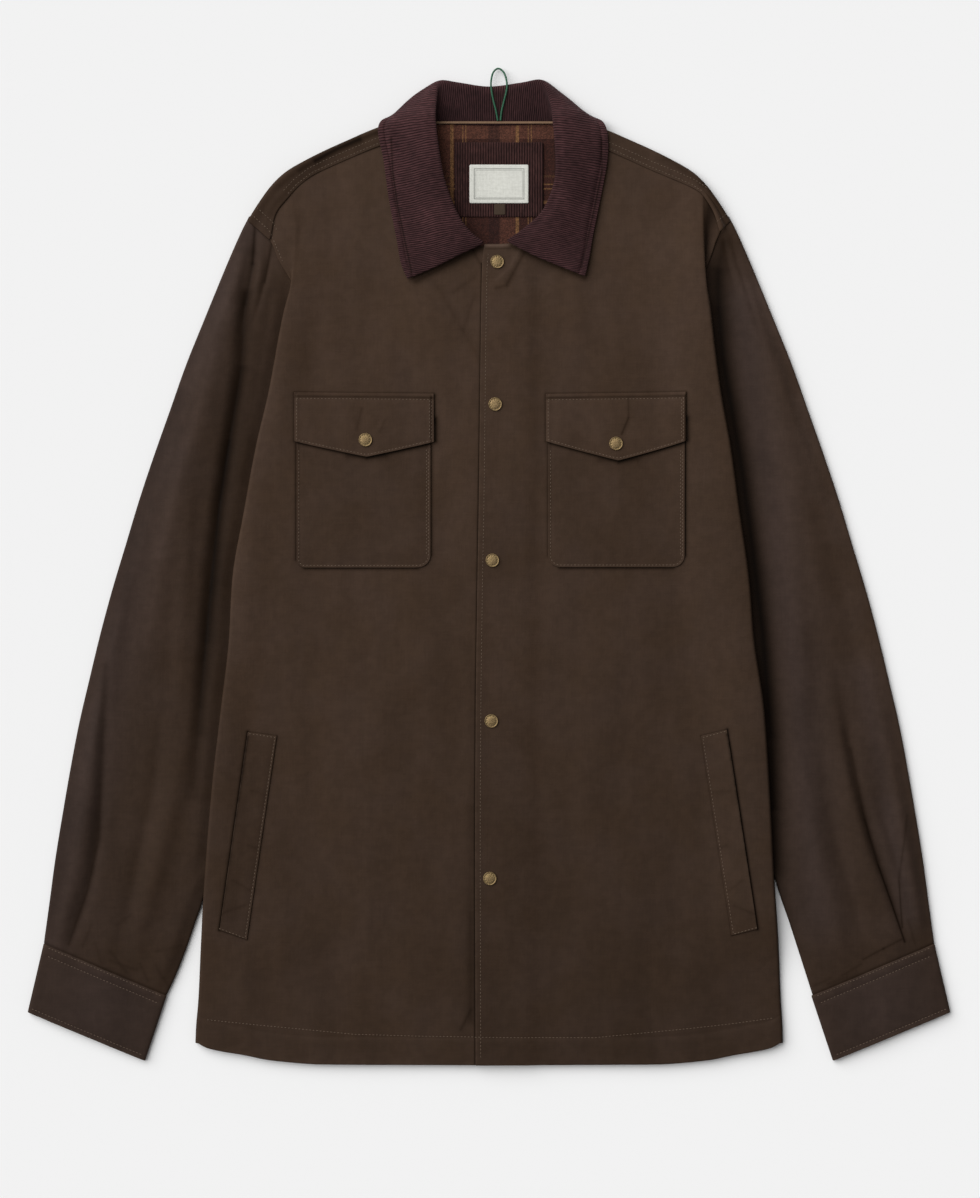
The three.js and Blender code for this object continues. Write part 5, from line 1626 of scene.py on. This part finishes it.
def along_roll(u):
    k = clamp01(u) * 300
    i = min(299, int(k))
    return lerp(ROLL_AT[i], ROLL_AT[i + 1], k - i)


def collar_painted_shade(u, v, x, y):
    """Painted shade on the stand, where the leaf shades it."""
    return 0.42 * (1 - smooth((v - 0.3) / 0.16))


def collar_map(u, v):
    """Where a place lies on the cut corduroy: across the wales, and along them."""
    p = collar_point(u, v)
    from_roll = (p - collar_point(u, 0.4)).length * (1 if v > 0.4 else -1)
    ends = (1 - smooth(u / 0.2)) - (1 - smooth((1 - u) / 0.2))
    lean = 0.36 * ends
    return along_roll(u) * 1.08 - (lean * from_roll if v > 0.4 else 0), from_roll


def collar_place(u, v):
    p = collar_body(u, v)
    if v > 0.5:
        from_edge = (collar_point(u, v) - collar_point(u, 1.0)).length
        from_end = (collar_point(u, v) - collar_point(0.0 if u < 0.5 else 1.0, v)).length
        if abs(u - 0.5) > 0.22:
            p.z -= 1.0 * math.exp(-(((from_edge - 5.6) / 1.1) ** 2))
            p.z += 0.9 * smooth((from_edge - 6.4) / 2.5) * smooth(from_end / 6)
    return p.x, p.y, p.z


collar = cloth(
    "collar_piece", COLLAR_ALONG, COLLAR_ACROSS, collar_place, 2.0, uv=collar_map, painted_shade=collar_painted_shade
)
dress(collar, "collar", collar_cord)

# Pockets, flaps and welts, laid on the fronts
bpy.context.view_layer.update()
on_front = surface(front_left, front_right)
PATCH_WALL = 1.2


def resting(at, x, y, above):
    hit = at(x, y)
    return (hit[0].z / MM if hit else FRONT_Z) + above


def pocket_place(side):
    x0, x1, top, bottom, r0, r1 = POCKET[side]

    def place(u, v):
        x = lerp(x0, x1, u)
        low = bottom
        if x < x0 + r0:
            low += r0 - math.sqrt(max(0.0, r0**2 - (x0 + r0 - x) ** 2))
        if x > x1 - r1:
            low += r1 - math.sqrt(max(0.0, r1**2 - (x - x1 + r1) ** 2))
        y = lerp(low, top, v)
        inside = min(x - x0, x1 - x, y - low)
        swell = 0.9 * smooth(inside / 16) + waviness(x, y, 30, 0.45, 6.6 + side) * smooth(inside / 10)
        turned = 0.35 * math.exp(-((inside / 2.2) ** 2)) - 0.2 * math.exp(-(((inside - 2.6) / 0.9) ** 2))
        return x, y, resting(on_front, x, y, 0.62 + swell + turned)

    return place


POCKET_COLUMNS = [0, 0.004, 0.01, 0.018, 0.026, 0.036, 0.05, 0.07]
POCKET_COLUMNS += [0.07 + 0.86 * i / 26 for i in range(1, 27)]
POCKET_COLUMNS += [0.95, 0.964, 0.974, 0.982, 0.99, 0.996, 1]
POCKET_ROWS = [0, 0.004, 0.01, 0.018, 0.026, 0.04, 0.07] + [0.07 + 0.93 * i / 28 for i in range(1, 29)]


def rim(u, v):
    return 0.22 * math.exp(-min(u, 1 - u) / 0.008) + 0.3 * math.exp(-v / 0.008)


pockets = {}
for side, worn in SIDES:
    pockets[side] = cloth(
        f"pocket_{worn}_patch", POCKET_COLUMNS, POCKET_ROWS, pocket_place(side), PATCH_WALL, worn=rim
    )
    dress(pockets[side], f"pocket_{worn}", pocket_cotton)

bpy.context.view_layer.update()
on_pocket = surface(front_left, front_right, pockets[-1], pockets[1])


def flap_low(side, x):
    """The lower edge of a flap, which runs down to its point."""
    x0, x1, _, _, side0, side1, point, tip = FLAP[side]
    reach = (x - x0) / (point - x0) if x < point else (x1 - x) / (x1 - point)
    return lerp(side0 if x < point else side1, tip, clamp01(reach) ** 0.92)


def flap_place(side):
    x0, x1, top0, top1 = FLAP[side][:4]
    snap_x, snap_y = POCKET_SNAPS[side]

    def place(u, v):
        x = lerp(x0, x1, u)
        low = flap_low(side, x)
        top = lerp(top0, top1, u)
        y = lerp(low, top, v)
        gap = min(x - x0, x1 - x, y - low)
        swell = 0.5 * smooth(gap / 12) * smooth((top - y) / 14) + 0.7 * (1 - v) * smooth((top - y) / 20)
        pull = -0.5 * math.exp(-(((x - snap_x) ** 2 + (y - snap_y) ** 2) / 160))
        crease = 0.0
        for dx, lean, depth in ((-4, -0.3, -0.55), (9, 0.55, -0.4), (-14, -0.75, 0.25)):
            line = snap_x + dx * 0.4 + lean * (y - snap_y) * 0.9
            fade = smooth((y - snap_y - 4) / 8) * smooth((snap_y + 30 - y) / 16)
            crease += depth * math.exp(-(((x - line) / 2.6) ** 2)) * fade
        seam = -0.45 * math.exp(-(((top - y - 5.3) / 1.2) ** 2))
        turned = 0.3 * math.exp(-((gap / 2.0) ** 2)) - 0.2 * math.exp(-(((gap - 2.4) / 0.9) ** 2))
        return x, y, resting(on_pocket, x, y, 0.65 + swell + pull + crease + seam + turned)

    return place


FLAP_COLUMNS = [0, 0.004, 0.01, 0.018, 0.026, 0.036, 0.05]
FLAP_COLUMNS += [0.05 + 0.9 * i / 44 for i in range(1, 45)]
FLAP_COLUMNS += [0.964, 0.974, 0.982, 0.99, 0.996, 1]
FLAP_ROWS = [0, 0.01, 0.025, 0.045, 0.065, 0.09, 0.13]
FLAP_ROWS += [0.13 + 0.69 * i / 12 for i in range(1, 13)]
FLAP_ROWS += [0.84, 0.86, 0.875, 0.89, 0.91, 0.94, 0.97, 0.99, 1]
flaps = {}
for side, worn in SIDES:
    flaps[side] = cloth(
        f"flap_{worn}_piece",
        FLAP_COLUMNS,
        FLAP_ROWS,
        flap_place(side),
        PATCH_WALL,
        worn=lambda u, v: 0.35 * math.exp(-min(u, 1 - u) / 0.008) + 0.45 * math.exp(-v / 0.02),
    )
    dress(flaps[side], f"flap_{worn}", flap_cotton)


def welt_place(side):
    out_top, in_top, in_bottom, out_bottom = WELT[side]

    def place(u, v):
        x = lerp(lerp(out_top[0], in_top[0], u), lerp(out_bottom[0], in_bottom[0], u), v)
        y = lerp(lerp(out_top[1], in_top[1], u), lerp(out_bottom[1], in_bottom[1], u), v)
        ends = min(v, 1 - v) * 170
        swell = 0.5 * smooth(min(u * 24, (1 - u) * 24, ends) / 8)
        mouth = 0.7 * math.exp(-u * 24 / 4.0) * smooth(ends / 18)
        crinkle = waviness(x, y, 11, 0.35, 8.1) * smooth(ends / 10)
        seam = -0.3 * math.exp(-((((1 - u) * 24 - 1.8) / 1.0) ** 2))
        return x, y, resting(on_front, x, y, 0.62 + swell + mouth + crinkle + seam)

    return place


WELT_COLUMNS = [0, 0.02, 0.05, 0.1, 0.18, 0.28, 0.4, 0.52, 0.64, 0.74, 0.82, 0.88, 0.92, 0.95, 0.98, 1]
WELT_ROWS = [0, 0.004, 0.01, 0.02] + [0.02 + 0.96 * i / 44 for i in range(1, 45)] + [0.99, 0.996, 1]
welts = {}
for side, worn in SIDES:
    welts[side] = cloth(
        f"welt_{worn}_piece",
        WELT_COLUMNS,
        WELT_ROWS,
        welt_place(side),
        PATCH_WALL,
        worn=lambda u, v: 0.5 * math.exp(-u / 0.04) + 0.3 * math.exp(-min(v, 1 - v) / 0.008),
    )
    dress(welts[side], f"welt_{worn}", welt_cotton)

# Inside the neck
# each lies in a box: left, right, low and high edge
LINING = (-57, 62, 246, 381.4)
LINING_TOP = (-53, 61)
PATCH = (-29.1, 46.5, 301.8, 365.5)
LABEL = (-16.7, 33.7, 313.4, 346.4)
TAB = (4.3, 14, 303.6, 312.9)
TAPE = (-47, 56.5, 381.1, 383.1)


def flat_place(box, z, top, sag, seed):
    x0, x1, y0, y1 = box
    tx0, tx1 = top or (x0, x1)

    def place(u, v):
        k = smooth((v - 0.55) / 0.45)
        x = lerp(lerp(x0, x1, u), lerp(tx0, tx1, u), k)
        y = lerp(y0, y1, v)
        return x, y, z + waviness(x, y, 17, sag, seed)

    return place


lining_at = flat_place(LINING, 2.25, LINING_TOP, 0.2, 1.0)
lining = cloth("neck_lining_piece", spaced(28), spaced(32), lining_at, 0.9)
dress(lining, "neck_lining", lining_plaid)
patch = cloth("neck_patch_piece", spaced(30), spaced(26), flat_place(PATCH, 3.5, None, 0.25, 2.0), 1.1)
dress(patch, "neck_patch", patch_cord)
label = cloth("label_piece", spaced(24), spaced(18), flat_place(LABEL, 4.65, None, 0.3, 3.0), 0.7)
dress(label, "label", label_weave)
tab = cloth("tab_piece", spaced(6), spaced(6), flat_place(TAB, 4.5, None, 0.1, 4.0), 0.6)
dress(tab, "size_tab", tab_cloth)
tape = cloth("neck_tape_strip", spaced(60), spaced(4), flat_place(TAPE, 4.65, None, 0.15, 5.0), 0.9)
dress(tape, "neck_tape", tape_cloth)


# Snaps
def snap(name, node, x, y, at):
    """A brass cap: a low dome in a raised rim, with a ring of small dents."""
    hit = at(x, y)
    base = hit[0].z / MM - 0.15
    bm = bmesh.new()
    r = SNAP_D / 2
    profile = [
        (0, 1.72),
        (0.25 * r, 1.7),
        (0.5 * r, 1.62),
        (0.66 * r, 1.5),
        (0.8 * r, 1.38),
        (0.85 * r, 1.36),
        (0.89 * r, 1.56),
        (0.94 * r, 1.6),
        (0.99 * r, 1.36),
        (1.0 * r, 0.5),
        (0.94 * r, 0.0),
        (0, 0.0),
    ]
    verts = [bm.verts.new(((x + a) * MM, y * MM, (base + b) * MM)) for a, b in profile]
    edges = [bm.edges.new(pair) for pair in zip(verts, verts[1:])]
    bmesh.ops.spin(
        bm,
        geom=verts + edges,
        cent=(x * MM, y * MM, 0),
        axis=(0, 0, 1),
        angle=2 * math.pi,
        steps=48,
        use_merge=True,
    )
    bmesh.ops.remove_doubles(bm, verts=bm.verts, dist=1e-6)
    bmesh.ops.recalc_face_normals(bm, faces=bm.faces)
    dark = bm.verts.layers.float.new("worn")
    centre = Vector((x * MM, y * MM, 0))
    band = []
    for face in bm.faces:
        m = face.calc_center_median()
        away = (Vector((m.x, m.y, 0)) - centre).length / (r * MM)
        if 0.68 < away < 0.79 and face.normal.z > 0.7:
            band.append((math.atan2(m.y - centre.y, m.x - centre.x), face))
    band.sort(key=lambda item: item[0])
    picked = [face for i, (_, face) in enumerate(band) if i % 4 == 0]
    bmesh.ops.inset_individual(bm, faces=picked, thickness=0.00012, depth=-0.0002)
    for face in picked:
        for vert in face.verts:
            vert[dark] = 0.55
    for vert in bm.verts:
        away = (Vector((vert.co.x, vert.co.y, 0)) - centre).length / (r * MM)
        if 0.83 < away < 0.87 or 0.995 < away:
            vert[dark] = max(vert[dark], 0.35)
    smooth_faces(bm)
    piece = finished(bm, name)
    piece.data.materials.append(brass)
    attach(piece, "root")
    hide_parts(node)


bpy.context.view_layer.update()
on_all = surface(front_left, front_right, yoke, collar, *pockets.values(), *flaps.values())
for i, (x, y) in enumerate(FRONT_SNAPS):
    snap(f"snap_cap_{i + 1}", f"snap_{i + 1}", x, y, on_all)
snap("pocket_snap_cap_right", "pocket_snap_right", *POCKET_SNAPS[-1], on_all)
snap("pocket_snap_cap_left", "pocket_snap_left", *POCKET_SNAPS[1], on_all)

# Stitches
bpy.context.view_layer.update()
everything = surface(
    front_left,
    front_right,
    yoke,
    *pockets.values(),
    *flaps.values(),
    *sleeves.values(),
    *cuffs.values(),
    *welts.values(),
)


STITCH_PITCH = 3.0
STITCH_LONG = 2.1
STITCH_WIDE = 0.5
STITCH_IN = 1.9  # how far inside an edge the stitches of pockets and flaps run


def walk(line):
    """Places for stitches along a line of points, with the way the line runs there."""
    out = []
    left = STITCH_PITCH / 2
    for (ax, ay), (bx, by) in zip(line, line[1:]):
        length = math.hypot(bx - ax, by - ay)
        at = left
        while at < length:
            f = at / length
            out.append((lerp(ax, bx, f), lerp(ay, by, f), (bx - ax) / length, (by - ay) / length))
            at += STITCH_PITCH
        left = at - length
    return out


def stitch_row(bm_all, line):
    bm = bmesh.new()
    for x, y, dx, dy in walk(line):
        hit = everything(x, y)
        if not hit:
            continue
        spot, normal = hit
        along = Vector((dx, dy, 0))
        along = (along - normal * along.dot(normal)).normalized()
        across = normal.cross(along)
        turn = Matrix((along, across, normal)).transposed().to_4x4()
        size = Matrix.Diagonal((STITCH_LONG / 2 * MM, STITCH_WIDE / 2 * MM, STITCH_WIDE * 0.42 * MM, 1))
        where = Matrix.Translation(spot + normal * 0.00006)
        bmesh.ops.create_icosphere(bm, subdivisions=1, radius=1.0, matrix=where @ turn @ size)
    mesh = bpy.data.meshes.new("row")
    bm.to_mesh(mesh)
    bm.free()
    bm_all.from_mesh(mesh)
    bpy.data.meshes.remove(mesh)


def shifted(line, d):
    """A line moved sideways by d, to its left."""
    out = []
    for i, (x, y) in enumerate(line):
        ax, ay = line[max(0, i - 1)]
        bx, by = line[min(len(line) - 1, i + 1)]
        length = math.hypot(bx - ax, by - ay)
        out.append((x - (by - ay) / length * d, y + (bx - ax) / length * d))
    return out


def sewn(name, lines):
    bm = bmesh.new()
    for line in lines:
        stitch_row(bm, line)
    smooth_faces(bm)
    piece = finished(bm, name)
    piece.data.materials.append(brown_thread)
    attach(piece, "root")


def flap_lines(side):
    x0, x1, top0, top1, _, side1, _, _ = FLAP[side]
    g = STITCH_IN
    lower = []
    for i in range(25):
        x = lerp(x0 + g, x1 - g, i / 24)
        lower.append((x, flap_low(side, x) + g))
    return [
        [(x0 + 1, top0 - 5.3), (x1 - 1, top1 - 5.3)],
        [(x0 + g, top0 - 5.3)] + lower + [(x1 - g, top1 - 5.3)],
        [(x1 - 3.7, side1 + 3), (x1 - 3.7, top1 - 5.3)],
    ]


def pocket_lines(side):
    x0, x1, _, bottom, r0, r1 = POCKET[side]
    g = STITCH_IN
    line = [(x0 + g, 104)]
    for i in range(9):
        turn = i / 8 * math.pi / 2
        line.append((x0 + r0 - (r0 - g) * math.cos(turn), bottom + r0 - (r0 - g) * math.sin(turn)))
    for i in range(9):
        turn = i / 8 * math.pi / 2
        line.append((x1 - r1 + (r1 - g) * math.sin(turn), bottom + r1 - (r1 - g) * math.cos(turn)))
    line.append((x1 - g, 104))
    return [line, [(x1 - 3.6, bottom + r1), (x1 - 3.6, 104)]]


def welt_lines(side):
    out_top, in_top, in_bottom, out_bottom = WELT[side]
    g = 1.6 * side
    return [
        [
            (out_top[0] - g * 0.4, out_top[1] - 1.4),
            (in_top[0] + g, in_top[1] - 1.4),
            (in_bottom[0] + g, in_bottom[1] + 1.4),
            (out_bottom[0], out_bottom[1] + 1.4),
        ]
    ]


hem_line = [
    (-240, -380.4),
    (-200, -384.6),
    (-159.8, -388.4),
    (-115.6, -392.7),
    (-60, -394.4),
    (-18.7, -395),
    (40, -395.6),
    (89.2, -395.7),
    (165.8, -388.4),
    (205, -384),
    (240.5, -379.1),
]
placket_line = [(lap_curve(y) + 4.5, y) for y in range(-413, 276, 12)]
yoke_lines = []
for side in (-1, 1):
    seam = [(side * (c[2] if side < 0 else c[4]), c[3] if side < 0 else c[5]) for c in YOKE[5:12]]
    yoke_lines += [shifted(seam, side * 1.4), shifted(seam, side * 6.0)]
cuff_lines = []
for side in (-1, 1):
    for t, trim in ((0.03, 3), (0.145, 4), (0.93, 3)):
        a = cuff_side(side, "inner", t).xy
        b = cuff_side(side, "outer", t).xy
        way = (b - a).normalized()
        cuff_lines.append([tuple(a + way * trim), tuple(b - way * trim)])
body_seams = [hem_line, placket_line] + yoke_lines
body_seams += [
    [(-202.5, 304.5), (-187, 290.5), (-184.5, 285.5), (-174.5, 262)],
    [(-197.5, 310), (-184, 297.5), (-180, 290)],
    [(202, 304.5), (192, 296)],
]
for side in (-1, 1):
    body_seams += flap_lines(side) + pocket_lines(side) + welt_lines(side)
sewn("body_stitches", body_seams)
sewn("cuff_stitches", cuff_lines)


# Floor and light
def studio():
    bm = bmesh.new()
    bmesh.ops.create_grid(bm, x_segments=1, y_segments=1, size=4.0)
    floor = finished(bm, "floor")
    floor.location.z = -0.0003
    material, _, shader, _ = new_finish("pale floor")
    shader.inputs["Base Color"].default_value = (0.887, 0.887, 0.887, 1)
    shader.inputs["Roughness"].default_value = 1.0
    shader.inputs["Specular IOR Level"].default_value = 0.0
    floor.data.materials.append(material)
    world = bpy.data.worlds.new("studio")
    world.use_nodes = True
    world.node_tree.nodes["Background"].inputs[0].default_value = (1, 1, 1, 1)
    world.node_tree.nodes["Background"].inputs[1].default_value = 0.24
    bpy.context.scene.world = world
    key = bpy.data.lights.new("key", "SUN")
    key.energy = 0.76 * math.pi / 0.7071
    key.angle = math.radians(66)
    lamp = bpy.data.objects.new("key", key)
    toward = Vector((-0.6, 0.45, 0.75)).normalized()
    lamp.rotation_euler = toward.to_track_quat("Z", "Y").to_euler()
    bpy.context.scene.collection.objects.link(lamp)
    bpy.context.scene.view_settings.view_transform = "Standard"
    bpy.context.scene.view_settings.look = "None"


studio()
